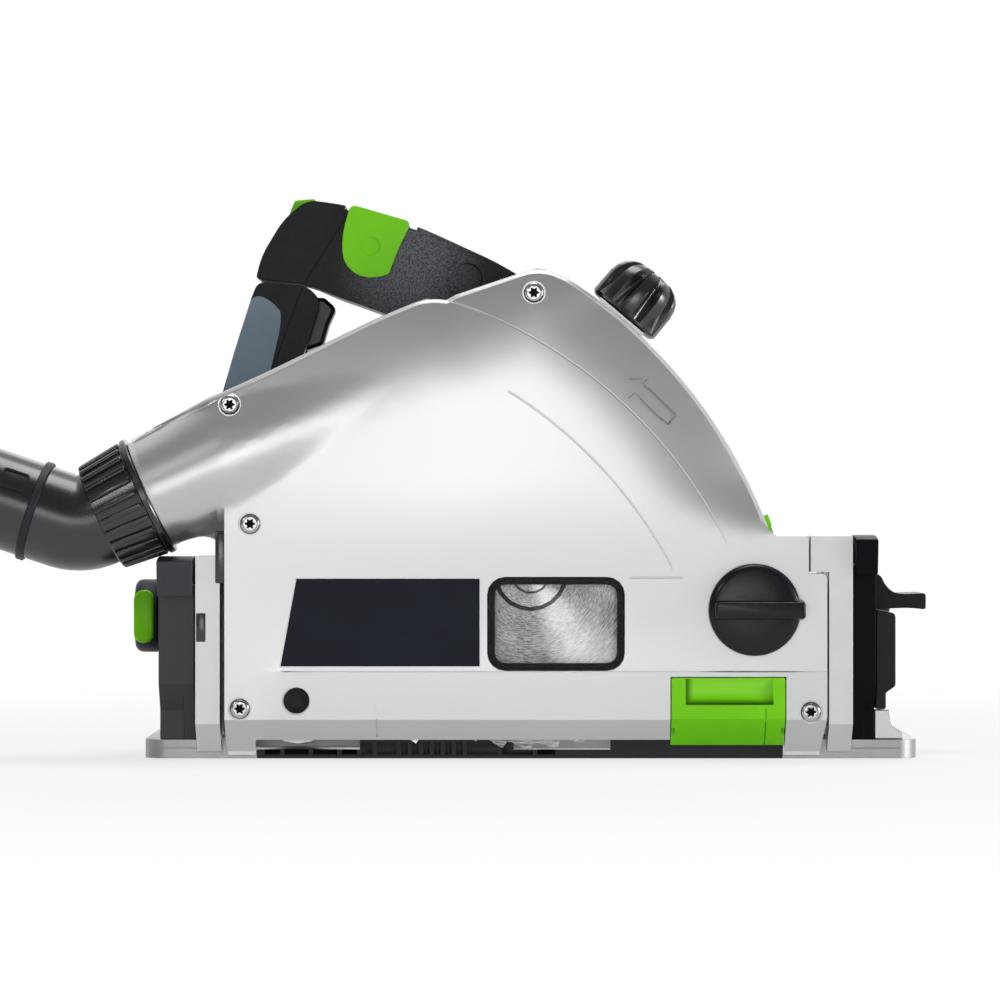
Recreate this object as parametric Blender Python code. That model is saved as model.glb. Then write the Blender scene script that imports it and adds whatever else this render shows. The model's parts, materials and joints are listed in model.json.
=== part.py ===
"""Track plunge saw, modelled at its real size in metres.

+X is the cutting direction, +Z is up, and -Y is the blade side.  The origin is the middle of the
underside of the sole plate.  A depth called "v" is measured from the blade plane towards the motor.
Angles in the XZ plane run from +X towards +Z, in degrees.
"""

import math

import bmesh
import bpy
from mathutils import Matrix, Vector

MM = 0.001
GAP = 0.3 * MM  # clearance between two pieces that seat on each other
SEAM = 1.0 * MM  # open joint line that shows between castings
MERGE = 0.01 * MM
FINENESS = 0.6  # share of the asked-for segments that round pieces get

# ---------------------------------------------------------------- driving sizes
SOLE_LENGTH = 352 * MM
SOLE_WIDTH = 177.5 * MM
SOLE_FLOOR = 4 * MM  # floor of the pockets
SOLE_TOP = 8.5 * MM  # top of the ribs
SOLE_CORNER = 10 * MM
RIB = 3 * MM
RIB_PITCH = 40 * MM
EDGE_RIB_PITCH = 22 * MM
EDGE_POCKET_DEPTH = 11 * MM
RAIL_GROOVE_WIDTH = 17 * MM
RAIL_GROOVE_DEPTH = 4.5 * MM
RAIL_GROOVE_FROM_BLADE = 122 * MM
RAIL_WALL = 4.5 * MM
JAW_RADIUS = 7 * MM
JAW_KNOB_RADIUS = 10 * MM
JAW_KNOB_HEIGHT = 7 * MM
JAW_FROM_MIDDLE = 95 * MM

BLADE_TO_SOLE = 2.5 * MM
BLADE_RADIUS = 80 * MM
BLADE_THICK = 1.8 * MM
BLADE_BORE = 10 * MM
BLADE_TEETH = 40
TOOTH_DEPTH = 3 * MM
CUT_DEPTH = 55 * MM
BLADE_REST_HEIGHT = 84 * MM

PIVOT_X = -105.75 * MM
PIVOT_Z = 27 * MM
PIVOT_TO_SPINDLE = 120 * MM
PIVOT_PIN_RADIUS = 5.5 * MM
PIVOT_BOSS_RADIUS = 13 * MM
PIVOT_EYE_RADIUS = 21 * MM

COVER_OUT = 17 * MM  # blade plane to the cover's flat face
COVER_WALL = 2.5 * MM
COVER_SPLIT = 2 * MM  # the joint between cover and housing lies this far on the blade side
COVER_ROUND = 4 * MM
HOUSING_OUT = 11 * MM  # blade plane to the housing's outer face
HOUSING_WALL = 3 * MM
FRONT_ARC = 226.5 * MM  # the front edge is an arc round the plunge pivot
FRONT_ARC_TOP = 57.5
SHOULDER_Z = 101.2 * MM
COVER_REAR_X = -139.3 * MM
COVER_STEP_X = 125 * MM
COVER_FRONT_X = 133.3 * MM
COVER_STEP_Z = 81 * MM
FOOT_Z = 1.8 * MM
ARCH_Z = 9 * MM
ARCH_REAR_X = -124.7 * MM
CHAMFER_LIFT = 1.5 * MM
HOUSING_BOTTOM = 10.5 * MM

PORT_X = -169.4 * MM
PORT_Z = 121.5 * MM
PORT_V = 4 * MM
PORT_PITCH = 25  # the port axis falls this many degrees towards the rear
PORT_RADIUS = 25.5 * MM
DUCT_RADIUS = 28 * MM
DUCT_TAPER = 45 * MM
DUCT_LENGTH = 108 * MM
DUCT_WALL = 3 * MM
NECK_RADIUS = 22 * MM
NECK_LENGTH = 13 * MM
COLLAR_LENGTH = 29 * MM
COLLAR_RADIUS = 26.5 * MM
COLLAR_END_RADIUS = 24 * MM
COLLAR_RIBS = 18
ELBOW_RADIUS = 21.8 * MM
ELBOW_WALL = 2.6 * MM
ELBOW_BEND = 43.5
ELBOW_VERTEX = 38.3 * MM
ELBOW_BEND_RADIUS = 23.5 * MM
OUTLET_LENGTH = 47 * MM
RING_FROM_END = 26 * MM

WINDOW_X = 11.2 * MM
WINDOW_Z = 61.7 * MM
WINDOW_WIDTH = 62 * MM
WINDOW_HEIGHT = 42.4 * MM
WINDOW_CORNER = 8 * MM
LABEL_LEFT = -112.8 * MM
LABEL_RIGHT = -23.2 * MM
LABEL_BOTTOM = 42.6 * MM
LABEL_TOP = 82 * MM
LABEL_SLANT = 7.2 * MM
LABEL_THICK = 0.8 * MM

GUARD_LEFT = 63.2 * MM
GUARD_RIGHT = 114.4 * MM
GUARD_TOP = 37.4 * MM
GUARD_BOTTOM = 6.5 * MM
GUARD_TRAVEL = 5 * MM
GUARD_WALL = 3.2 * MM
GUARD_PROUD = 0.4 * MM
TONGUE_WIDTH = 20 * MM
TONGUE_THICK = 1.6 * MM
KNOB_X = 100.4 * MM
KNOB_Z = 68.1 * MM
KNOB_RADIUS = 20.7 * MM
KNOB_DISC = 7 * MM
KNOB_BAR = 8 * MM
KNOB_HEIGHT = 15 * MM
BOLT_RADIUS = 4 * MM

REAR_STRIP = 11 * MM
FRONT_STRIP_X = 145 * MM
STRIP_V = 15 * MM  # the end walls start this far on the blade side
REAR_TOP_Z = 92 * MM
SEGMENT_GAP = 1.2 * MM
REAR_SEGMENT_THICK = 16 * MM
FRONT_SEGMENT_THICK = 10 * MM
SEGMENT_WEB = 5 * MM
REAR_SEGMENT_RADIUS = 92 * MM
FRONT_SEGMENT_RADIUS = 101.6 * MM
SEGMENT_BAND = 16 * MM
SLOT_HALF = 4.6 * MM
SLOT_EDGE = 3.6 * MM
REAR_CLAMP_Z = 63.5 * MM
FRONT_CLAMP_Z = 70 * MM
TILT_MIN = -1
TILT_MAX = 47
CLAMP_KNOB_RADIUS = 17 * MM
CLAMP_KNOB_LENGTH = 16 * MM
FRONT_WING_REACH = 27.5 * MM  # the front knob's wing stands out past its disc

GEAR_MODULE = 1.0 * MM
PINION_TEETH = 10
WHEEL_TEETH = 38
GEAR_FACE = 10 * MM
GEAR_CASE_WALL = 3 * MM
MOTOR_RADIUS = 36 * MM
MOTOR_WALL = 3 * MM
MOTOR_START = 45 * MM
MOTOR_END = 150 * MM
END_CAP = 17 * MM
ARM_START = 12 * MM
ARM_THICK = 13 * MM
ARM_HALF = 16.3 * MM
SPINDLE_NECK = 17 * MM
SHAFT_RADIUS = 6 * MM
FLANGE_RADIUS = 17 * MM
FLANGE_THICK = 3 * MM

HANDLE_V = 62 * MM
HANDLE_HALF = 17 * MM
HANDLE_WALL = 3 * MM
HANDLE_ROUND = 5 * MM
FRONT_HANDLE_V = 20 * MM
FRONT_HANDLE_RADIUS = 18 * MM
FRONT_HANDLE_LENGTH = 32 * MM
FRONT_HANDLE_ARC = 233.6 * MM
FRONT_HANDLE_AT = 49.8
DEPTH_SCALE_IN = 206 * MM
DEPTH_SCALE_THICK = 2.2 * MM
DEPTH_STOP_AT = 19.2
DEPTH_STOP_SPAN = 4.5
DEPTH_SCALE_TOP = 46
FINGER_REACH = FRONT_ARC - 14.5 * MM

SCREW_RADIUS = 4.8 * MM
SCREW_HEAD = 2.4 * MM
SCREW_SHANK = 2.2 * MM


# ---------------------------------------------------------------- worked-out places
BLADE_Y = -(SOLE_WIDTH / 2 + BLADE_TO_SOLE)
REST_ANGLE = math.asin((BLADE_REST_HEIGHT - PIVOT_Z) / PIVOT_TO_SPINDLE)
FULL_ANGLE = math.asin((BLADE_RADIUS - CUT_DEPTH - PIVOT_Z) / PIVOT_TO_SPINDLE)
PLUNGE = REST_ANGLE - FULL_ANGLE  # radians that the head turns down
SPINDLE = (
    PIVOT_X + PIVOT_TO_SPINDLE * math.cos(REST_ANGLE),
    PIVOT_Z + PIVOT_TO_SPINDLE * math.sin(REST_ANGLE),
)
SPINDLE_DOWN = (
    PIVOT_X + PIVOT_TO_SPINDLE * math.cos(FULL_ANGLE),
    PIVOT_Z + PIVOT_TO_SPINDLE * math.sin(FULL_ANGLE),
)
WHEEL_PITCH = GEAR_MODULE * WHEEL_TEETH / 2
PINION_PITCH = GEAR_MODULE * PINION_TEETH / 2
GEAR_CENTRES = WHEEL_PITCH + PINION_PITCH
GEAR_CASE_RADIUS = WHEEL_PITCH + GEAR_MODULE + GEAR_CASE_WALL
MOTOR_LEAN = 97  # direction from spindle to motor axis when the head is down
MOTOR_ANGLE = math.radians(MOTOR_LEAN) + PLUNGE
MOTOR = (
    SPINDLE[0] + GEAR_CENTRES * math.cos(MOTOR_ANGLE),
    SPINDLE[1] + GEAR_CENTRES * math.sin(MOTOR_ANGLE),
)
PIVOT = (PIVOT_X, PIVOT_Z)
RAIL_Y = BLADE_Y + RAIL_GROOVE_FROM_BLADE
REAR_SEGMENT_X = COVER_REAR_X - SEAM - REAR_STRIP - SEGMENT_GAP  # its inner face
FRONT_SEGMENT_X = FRONT_STRIP_X + SEGMENT_GAP
REAR_SLOT_RADIUS = REAR_SEGMENT_RADIUS - SLOT_HALF - SLOT_EDGE
FRONT_SLOT_RADIUS = FRONT_SEGMENT_RADIUS - SLOT_HALF - SLOT_EDGE
REAR_CLAMP_V = math.sqrt(REAR_SLOT_RADIUS**2 - REAR_CLAMP_Z**2)
FRONT_CLAMP_V = math.sqrt(FRONT_SLOT_RADIUS**2 - FRONT_CLAMP_Z**2)
PORT_OUT = Vector((-math.cos(math.radians(PORT_PITCH)), 0, -math.sin(math.radians(PORT_PITCH))))


def depth(v):
    """World Y of a depth measured from the blade plane towards the motor."""
    return BLADE_Y + v


PORT = Vector((PORT_X, depth(PORT_V), PORT_Z))


# ---------------------------------------------------------------- outlines
def arc(centre, radius, start, end, steps):
    """Points on an arc in a plane, both ends included; angles in degrees."""
    turn = [start + (end - start) * i / steps for i in range(steps + 1)]
    return [
        (centre[0] + radius * math.cos(math.radians(a)), centre[1] + radius * math.sin(math.radians(a)))
        for a in turn
    ]


def circle(centre, radius, steps=24):
    return arc(centre, radius, 0, 360, steps)[:-1]


def rounded(corners, steps=3):
    """Polygon through corners (x, y, radius), each corner replaced by an arc of that radius."""
    made = []
    for i, (x, y, radius) in enumerate(corners):
        if radius == 0:
            made.append((x, y))
            continue
        here = Vector((x, y))
        back = (Vector(corners[i - 1][:2]) - here).normalized()
        ahead = (Vector(corners[(i + 1) % len(corners)][:2]) - here).normalized()
        half = back.angle(ahead) / 2
        centre = here + (back + ahead).normalized() * (radius / math.sin(half))
        first = here + back * (radius / math.tan(half)) - centre
        sweep = (here + ahead * (radius / math.tan(half)) - centre).angle_signed(first)
        for k in range(steps + 1):
            turned = Matrix.Rotation(sweep * k / steps, 2) @ first
            made.append(tuple(centre + turned))
    return made


def area(points):
    return sum(a[0] * b[1] - b[0] * a[1] for a, b in zip(points, points[1:] + points[:1])) / 2


def inset(points, distance):
    """The polygon with every side moved inwards by distance, or outwards if it is negative."""
    turn = 1 if area(points) > 0 else -1
    made = []
    for i, here in enumerate(points):
        back = (Vector(here) - Vector(points[i - 1])).normalized()
        ahead = (Vector(points[(i + 1) % len(points)]) - Vector(here)).normalized()
        normal_back = Vector((-back.y, back.x)) * turn
        normal_ahead = Vector((-ahead.y, ahead.x)) * turn
        middle = normal_back + normal_ahead
        made.append(tuple(Vector(here) + middle * (2 * distance / middle.length_squared)))
    return made


def box_outline(x0, x1, y0, y1):
    return [(x0, y0), (x1, y0), (x1, y1), (x0, y1)]


def round_box(x0, x1, y0, y1, radius, steps=3):
    corners = box_outline(x0, x1, y0, y1)
    return rounded([(x, y, radius) for x, y in corners], steps)


def polar(centre, radius, angle):
    return arc(centre, radius, angle, angle, 1)[0]


def stadium(a, b, radius, steps=10):
    """Outline round two points, with round ends of one radius."""
    lean = math.degrees(math.atan2(b[1] - a[1], b[0] - a[0]))
    return arc(b, radius, lean - 90, lean + 90, steps) + arc(a, radius, lean + 90, lean + 270, steps)


def hull_of_circles(a, radius_a, b, radius_b, steps=12):
    """Outline of a belt round two circles."""
    lean = math.degrees(math.atan2(b[1] - a[1], b[0] - a[0]))
    span = math.hypot(b[0] - a[0], b[1] - a[1])
    spread = math.degrees(math.acos((radius_a - radius_b) / span))
    return arc(b, radius_b, lean - spread, lean + spread, steps) + arc(
        a, radius_a, lean + spread, lean + 360 - spread, steps
    )


def arc_band(centre, inner, outer, start, end, steps):
    return arc(centre, outer, start, end, steps) + arc(centre, inner, end, start, steps)


def arc_slot(centre, radius, half, start, end, steps=10):
    """Outline of a curved slot with round ends."""
    near, far = polar(centre, radius, start), polar(centre, radius, end)
    return (
        arc(centre, radius + half, start, end, steps)
        + arc(far, half, end, end + 180, 5)[1:-1]
        + arc(centre, radius - half, end, start, steps)
        + arc(near, half, start + 180, start + 360, 5)[1:-1]
    )


# ---------------------------------------------------------------- solids
def prism(points, low, high, plane="XZ"):
    """A closed solid with this outline between two levels of the axis left out of plane."""
    places = {
        "XZ": lambda p: (p[0], low, p[1]),
        "YZ": lambda p: (low, p[0], p[1]),
        "XY": lambda p: (p[0], p[1], low),
    }
    along = {"XZ": (0, high - low, 0), "YZ": (high - low, 0, 0), "XY": (0, 0, high - low)}[plane]
    bm = bmesh.new()
    face = bm.faces.new([bm.verts.new(places[plane](p)) for p in points])
    grown = bmesh.ops.extrude_face_region(bm, geom=[face])
    moved = [g for g in grown["geom"] if isinstance(g, bmesh.types.BMVert)]
    bmesh.ops.translate(bm, verts=moved, vec=along)
    bmesh.ops.recalc_face_normals(bm, faces=bm.faces)
    return bm


def box(x0, x1, y0, y1, z0, z1):
    return prism(box_outline(x0, x1, y0, y1), z0, z1, "XY")


def soften(bm, plane_axis, levels, width, segments=2, keep=None):
    """Rounds the edges that lie in the given levels of an axis (0, 1 or 2)."""
    chosen = [
        e
        for e in bm.edges
        if any(all(abs(v.co[plane_axis] - level) < 1e-6 for v in e.verts) for level in levels)
        and (keep is None or keep(e))
    ]
    bmesh.ops.bevel(
        bm, geom=chosen, offset=width, segments=segments, profile=0.5, affect="EDGES", clamp_overlap=True,
        material=-1
    )
    bmesh.ops.dissolve_degenerate(bm, dist=1e-6, edges=bm.edges)
    return bm


def lathe(profile, origin, axis, steps=24):
    """Turns (distance along the axis, radius) points round an axis; a closed ring if no radius is 0."""
    steps = max(8, 2 * round(steps * FINENESS / 2))
    bm = bmesh.new()
    verts = [bm.verts.new((r, 0, d)) for d, r in profile]
    edges = [bm.edges.new(pair) for pair in zip(verts, verts[1:])]
    if profile[0][1] > 0:
        edges.append(bm.edges.new((verts[-1], verts[0])))
    bmesh.ops.spin(
        bm, geom=verts + edges, cent=(0, 0, 0), axis=(0, 0, 1), angle=math.tau, steps=steps, use_merge=True
    )
    bmesh.ops.remove_doubles(bm, verts=bm.verts, dist=1e-6)
    bmesh.ops.recalc_face_normals(bm, faces=bm.faces)
    turn = Vector((0, 0, 1)).rotation_difference(Vector(axis)).to_matrix().to_4x4()
    bmesh.ops.transform(bm, matrix=Matrix.Translation(origin) @ turn, verts=bm.verts)
    return bm


def rod(origin, axis, radius, length, steps=20):
    return lathe([(0, 0), (0, radius), (length, radius), (length, 0)], origin, axis, steps)


def ring(origin, axis, inner, outer, length, steps=24):
    return lathe([(0, inner), (0, outer), (length, outer), (length, inner)], origin, axis, steps)


def cross_rod(at, radius, v0, v1, steps=20):
    """A round bar along Y between two depths."""
    return rod((at[0], depth(v0), at[1]), (0, 1, 0), radius, v1 - v0, steps)


def cross_ring(at, inner, outer, v0, v1, steps=24):
    return ring((at[0], depth(v0), at[1]), (0, 1, 0), inner, outer, v1 - v0, steps)


def loft(rings):
    """A closed solid through rings of points with the same count."""
    bm = bmesh.new()
    loops = []
    for points in rings:
        verts = [bm.verts.new(p) for p in points]
        loops.append([bm.edges.new((verts[i - 1], verts[i])) for i in range(len(verts))])
        if points is rings[0] or points is rings[-1]:
            bm.faces.new(verts)
    for a, b in zip(loops, loops[1:]):
        bmesh.ops.bridge_loops(bm, edges=a + b)
    bmesh.ops.recalc_face_normals(bm, faces=bm.faces)
    return bm


def hoop(centre, across, up, half_across, half_up, steps=24, shape=None):
    """Points round an oval, in the plane of two unit vectors; shape(angle) scales the radius."""
    made = []
    for i in range(steps):
        angle = math.tau * i / steps
        scale = shape(angle) if shape else 1
        made.append(centre + (across * half_across * math.cos(angle) + up * half_up * math.sin(angle))
                    * scale)
    return made


# ---------------------------------------------------------------- scene
def clear_scene():
    for obj in list(bpy.data.objects):
        bpy.data.objects.remove(obj, do_unlink=True)


def material(name, colour, roughness, metallic=0.0, alpha=1.0):
    made = bpy.data.materials.new(name)
    made.use_nodes = True
    shader = made.node_tree.nodes["Principled BSDF"]
    shader.inputs["Base Color"].default_value = (*colour, 1)
    shader.inputs["Roughness"].default_value = roughness
    shader.inputs["Metallic"].default_value = metallic
    shader.inputs["Alpha"].default_value = alpha
    made.diffuse_color = (*colour, alpha)
    return made


def place(bm, name, finish=None):
    """Makes an object of a bmesh, in the world frame."""
    mesh = bpy.data.meshes.new(name)
    bm.to_mesh(mesh)
    bm.free()
    obj = bpy.data.objects.new(name, mesh)
    bpy.context.scene.collection.objects.link(obj)
    if finish:
        mesh.materials.append(finish)
    return obj


def tidy(mesh):
    """Merges the near-double points that a Boolean leaves where curved faces meet."""
    bm = bmesh.new()
    bm.from_mesh(mesh)
    bmesh.ops.remove_doubles(bm, verts=bm.verts, dist=MERGE)
    bmesh.ops.dissolve_degenerate(bm, dist=MERGE / 2, edges=bm.edges)
    bm.to_mesh(mesh)
    bm.free()


def combine(obj, solids, operation):
    """Cuts, joins or intersects solids (bmeshes) with an object one by one, and keeps the result."""
    finish = list(obj.data.materials)
    for bm in solids:
        helper = place(bm, f"{obj.name}_tool")
        step = obj.modifiers.new("step", "BOOLEAN")
        step.operation = operation
        step.solver = "EXACT"
        step.object = helper
        evaluated = obj.evaluated_get(bpy.context.evaluated_depsgraph_get())
        mesh = bpy.data.meshes.new_from_object(evaluated)
        tidy(mesh)
        obj.modifiers.clear()
        obj.data = mesh
        bpy.data.objects.remove(helper, do_unlink=True)
    mesh = obj.data
    mesh.materials.clear()
    for item in finish:
        mesh.materials.append(item)
    mesh.polygons.foreach_set("material_index", [0] * len(mesh.polygons))
    return obj


def lifted(obj):
    """The object's mesh as a bmesh, for use as a tool; the object goes."""
    bm = bmesh.new()
    bm.from_mesh(obj.data)
    bpy.data.objects.remove(obj, do_unlink=True)
    return bm


def cut(obj, *solids):
    return combine(obj, solids, "DIFFERENCE")


def join(obj, *solids):
    return combine(obj, solids, "UNION")


def keep(obj, *solids):
    return combine(obj, solids, "INTERSECT")


def joint_frame(name, location, parent=None):
    """An empty on a joint's axis; the pieces that move with the joint are its children."""
    empty = bpy.data.objects.new(name, None)
    bpy.context.scene.collection.objects.link(empty)
    empty.empty_display_size = 10 * MM
    empty.location = Vector(location)
    empty["at"] = list(location)
    if parent:
        empty.parent = parent
        empty.matrix_parent_inverse = Matrix.Translation(-Vector(parent["at"]))
    return empty


def carry(frame, *objects):
    """Parents objects to a joint frame and leaves them where they are."""
    for obj in objects:
        obj.parent = frame
        obj.matrix_parent_inverse = Matrix.Translation(-Vector(frame["at"]))
        obj.data.shade_smooth()
        obj.data.set_sharp_from_angle(angle=math.radians(35))
    return objects


# ---------------------------------------------------------------- shared shapes
def body_outline():
    """The cover's outline, which the housing behind it repeats."""
    front_start = math.degrees(math.asin((104 * MM - PIVOT_Z) / FRONT_ARC))
    front = [(x, z, 0) for x, z in arc(PIVOT, FRONT_ARC, front_start, FRONT_ARC_TOP, 13)]
    return rounded(
        [
            (COVER_REAR_X, 14.9 * MM, 0),
            (-137.3 * MM, FOOT_Z, 0),
            (ARCH_REAR_X, FOOT_Z, 0),
            (ARCH_REAR_X, ARCH_Z, 0),
            (GUARD_RIGHT, ARCH_Z, 0),
            (GUARD_RIGHT, FOOT_Z, 0),
            (130.9 * MM, FOOT_Z, 0),
            (COVER_FRONT_X, 19.8 * MM, 0),
            (COVER_FRONT_X, COVER_STEP_Z, 4 * MM),
            (COVER_STEP_X, COVER_STEP_Z + 2.5 * MM, 2 * MM),
            (COVER_STEP_X, SHOULDER_Z, 3.6 * MM),
            (110.5 * MM, SHOULDER_Z, 0),
            *front,
            (4 * MM, 223 * MM, 5 * MM),
            (-34.2 * MM, 210.2 * MM, 0),
            (-38.3 * MM, 207.9 * MM, 0),
            (-47.7 * MM, 208.8 * MM, 4 * MM),
            (-67.5 * MM, 200.7 * MM, 0),
            (-131.9 * MM, 169.2 * MM, 0),
            (-150 * MM, 158 * MM, 0),
            (-160 * MM, 142 * MM, 0),
            (-152 * MM, 120 * MM, 0),
            (-140 * MM, 106.2 * MM, 0),
            (-136.8 * MM, 104.4 * MM, 0),
            (COVER_REAR_X, 96 * MM, 0),
        ],
        2,
    )


def body_room(far_v):
    """The inside of the cover and housing: open at the bottom, with a wall left along the tilt line."""
    inside = place(prism(inset(body_outline(), COVER_WALL), depth(-COVER_OUT + COVER_WALL), depth(far_v)),
                   "inside")
    mouth = box(ARCH_REAR_X + COVER_WALL, GUARD_RIGHT - COVER_WALL, depth(-COVER_OUT + COVER_WALL),
                depth(far_v),
                -0.01, 20 * MM)
    join(inside, mouth)
    cut(inside, below_tilt_line(-0.2, 0.2, COVER_WALL * math.sqrt(2)))
    return lifted(inside)


def duct(radius_drop):
    """The round duct between the hood and the port, made thinner by radius_drop."""
    ends = 0.0 if radius_drop == 0 else 1 * MM
    return lathe(
        [
            (-ends, 0),
            (-ends, PORT_RADIUS - radius_drop),
            (40 * MM, DUCT_RADIUS - radius_drop),
            (DUCT_LENGTH - DUCT_TAPER, DUCT_RADIUS - radius_drop),
            (DUCT_LENGTH - radius_drop, 13 * MM - radius_drop),
            (DUCT_LENGTH - radius_drop, 0),
        ],
        PORT,
        -PORT_OUT,
        36,
    )


def below_tilt_line(x0, x1, raised=0.0):
    """Everything under the 45 degree line that lets the saw lean over without touching the work."""
    v0, v1 = -40 * MM, -CHAMFER_LIFT
    lift = CHAMFER_LIFT + raised
    points = [(depth(v0), -v0 + lift), (depth(v1), -v1 + lift), (depth(v1), -20 * MM), (depth(v0), -20 * MM)]
    return prism(points, x0, x1, "YZ")


def screw(at, face, length, out=-1, radius=SCREW_RADIUS):
    """A pan-head screw along Y with a blind socket; face is the depth its head sits on."""
    head = SCREW_HEAD
    profile = [
        (-length, 0),
        (-length, SCREW_SHANK),
        (0, SCREW_SHANK),
        (0, radius),
        (head * 0.6, radius),
        (head, radius * 0.8),
        (head, radius * 0.45),
        (head * 0.3, radius * 0.45),
        (head * 0.3, 0),
    ]
    return lathe(profile, (at[0], depth(face), at[1]), (0, out, 0), 12)


def gear_outline(centre, teeth, middle_of_tooth):
    """Involute spur gear, with thinned teeth so that a meshing pair runs with backlash."""
    pitch = GEAR_MODULE * teeth / 2
    base = pitch * math.cos(math.radians(20))
    tip, root = pitch + 0.75 * GEAR_MODULE, pitch - 1.15 * GEAR_MODULE
    involute = math.tan(math.radians(20)) - math.radians(20)
    half_tooth = math.pi / teeth / 2 * 0.84
    flank = []
    for i in range(3):
        radius = max(base, root) + (tip - max(base, root)) * i / 2
        roll = math.acos(min(1.0, base / radius))
        flank.append((radius, half_tooth + involute - (math.tan(roll) - roll)))
    if root < base:
        flank.insert(0, (root, flank[0][1]))
    points = []
    for k in range(teeth):
        middle = middle_of_tooth + math.tau * k / teeth
        for radius, half in flank:
            points.append((radius, middle - half))
        for radius, half in reversed(flank):
            points.append((radius, middle + half))
    return [(centre[0] + r * math.cos(a), centre[1] + r * math.sin(a)) for r, a in points]


def handle_outline():
    """Outside of the D-handle, seen from the blade side."""
    return rounded(
        [
            (-103 * MM, 257.2 * MM, 5 * MM),
            (-81.3 * MM, 254 * MM, 0),
            (-55.6 * MM, 246.4 * MM, 0),
            (-7.9 * MM, 224.5 * MM, 8 * MM),
            (14 * MM, 208 * MM, 12 * MM),
            (24 * MM, 175 * MM, 12 * MM),
            (20 * MM, 112 * MM, 0),
            (-45 * MM, 104 * MM, 0),
            (-62 * MM, 110 * MM, 0),
            (-112 * MM, 124 * MM, 8 * MM),
            (-146 * MM, 133 * MM, 10 * MM),
            (-146.5 * MM, 155 * MM, 8 * MM),
            (-136.4 * MM, 190.3 * MM, 12 * MM),
            (-128.6 * MM, 215 * MM, 6 * MM),
            (-124.8 * MM, 231 * MM, 6 * MM),
            (-115 * MM, 249.5 * MM, 8 * MM),
        ],
        2,
    )


def finger_gap():
    """The open middle of the D-handle."""
    return rounded(
        [
            (-97 * MM, 211 * MM, 5 * MM),
            (-69.6 * MM, 205 * MM, 6 * MM),
            (-30 * MM, 190 * MM, 10 * MM),
            (-8 * MM, 176 * MM, 10 * MM),
            (-8 * MM, 149 * MM, 6 * MM),
            (-60 * MM, 143 * MM, 10 * MM),
            (-112 * MM, 149 * MM, 10 * MM),
            (-113 * MM, 165 * MM, 10 * MM),
            (-104.2 * MM, 188 * MM, 6 * MM),
        ],
        2,
    )


def wing_knob(x, centre_v, centre_z, outward, reach):
    """Clamp knob on a bolt along X: a flared disc with a wing grip across it."""
    start = Vector((x, depth(centre_v), centre_z))
    r, length = CLAMP_KNOB_RADIUS, CLAMP_KNOB_LENGTH
    disc = lathe(
        [(0, 0), (0, r * 0.55), (2 * MM, r * 0.62), (5 * MM, r), (length * 0.5, r), (length * 0.62, r * 0.86),
         (length * 0.62, 0)],
        start,
        (outward, 0, 0),
        28,
    )
    x0, x1 = sorted((x + outward * length * 0.4, x + outward * reach))
    wing = box(x0, x1, start.y - r * 1.1, start.y + r * 1.1, centre_z - 4 * MM, centre_z + 4 * MM)
    bore = rod(start - Vector((outward * MM, 0, 0)), (outward, 0, 0), BOLT_RADIUS + GAP, length * 0.5, 16)
    return disc, wing, bore


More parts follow.
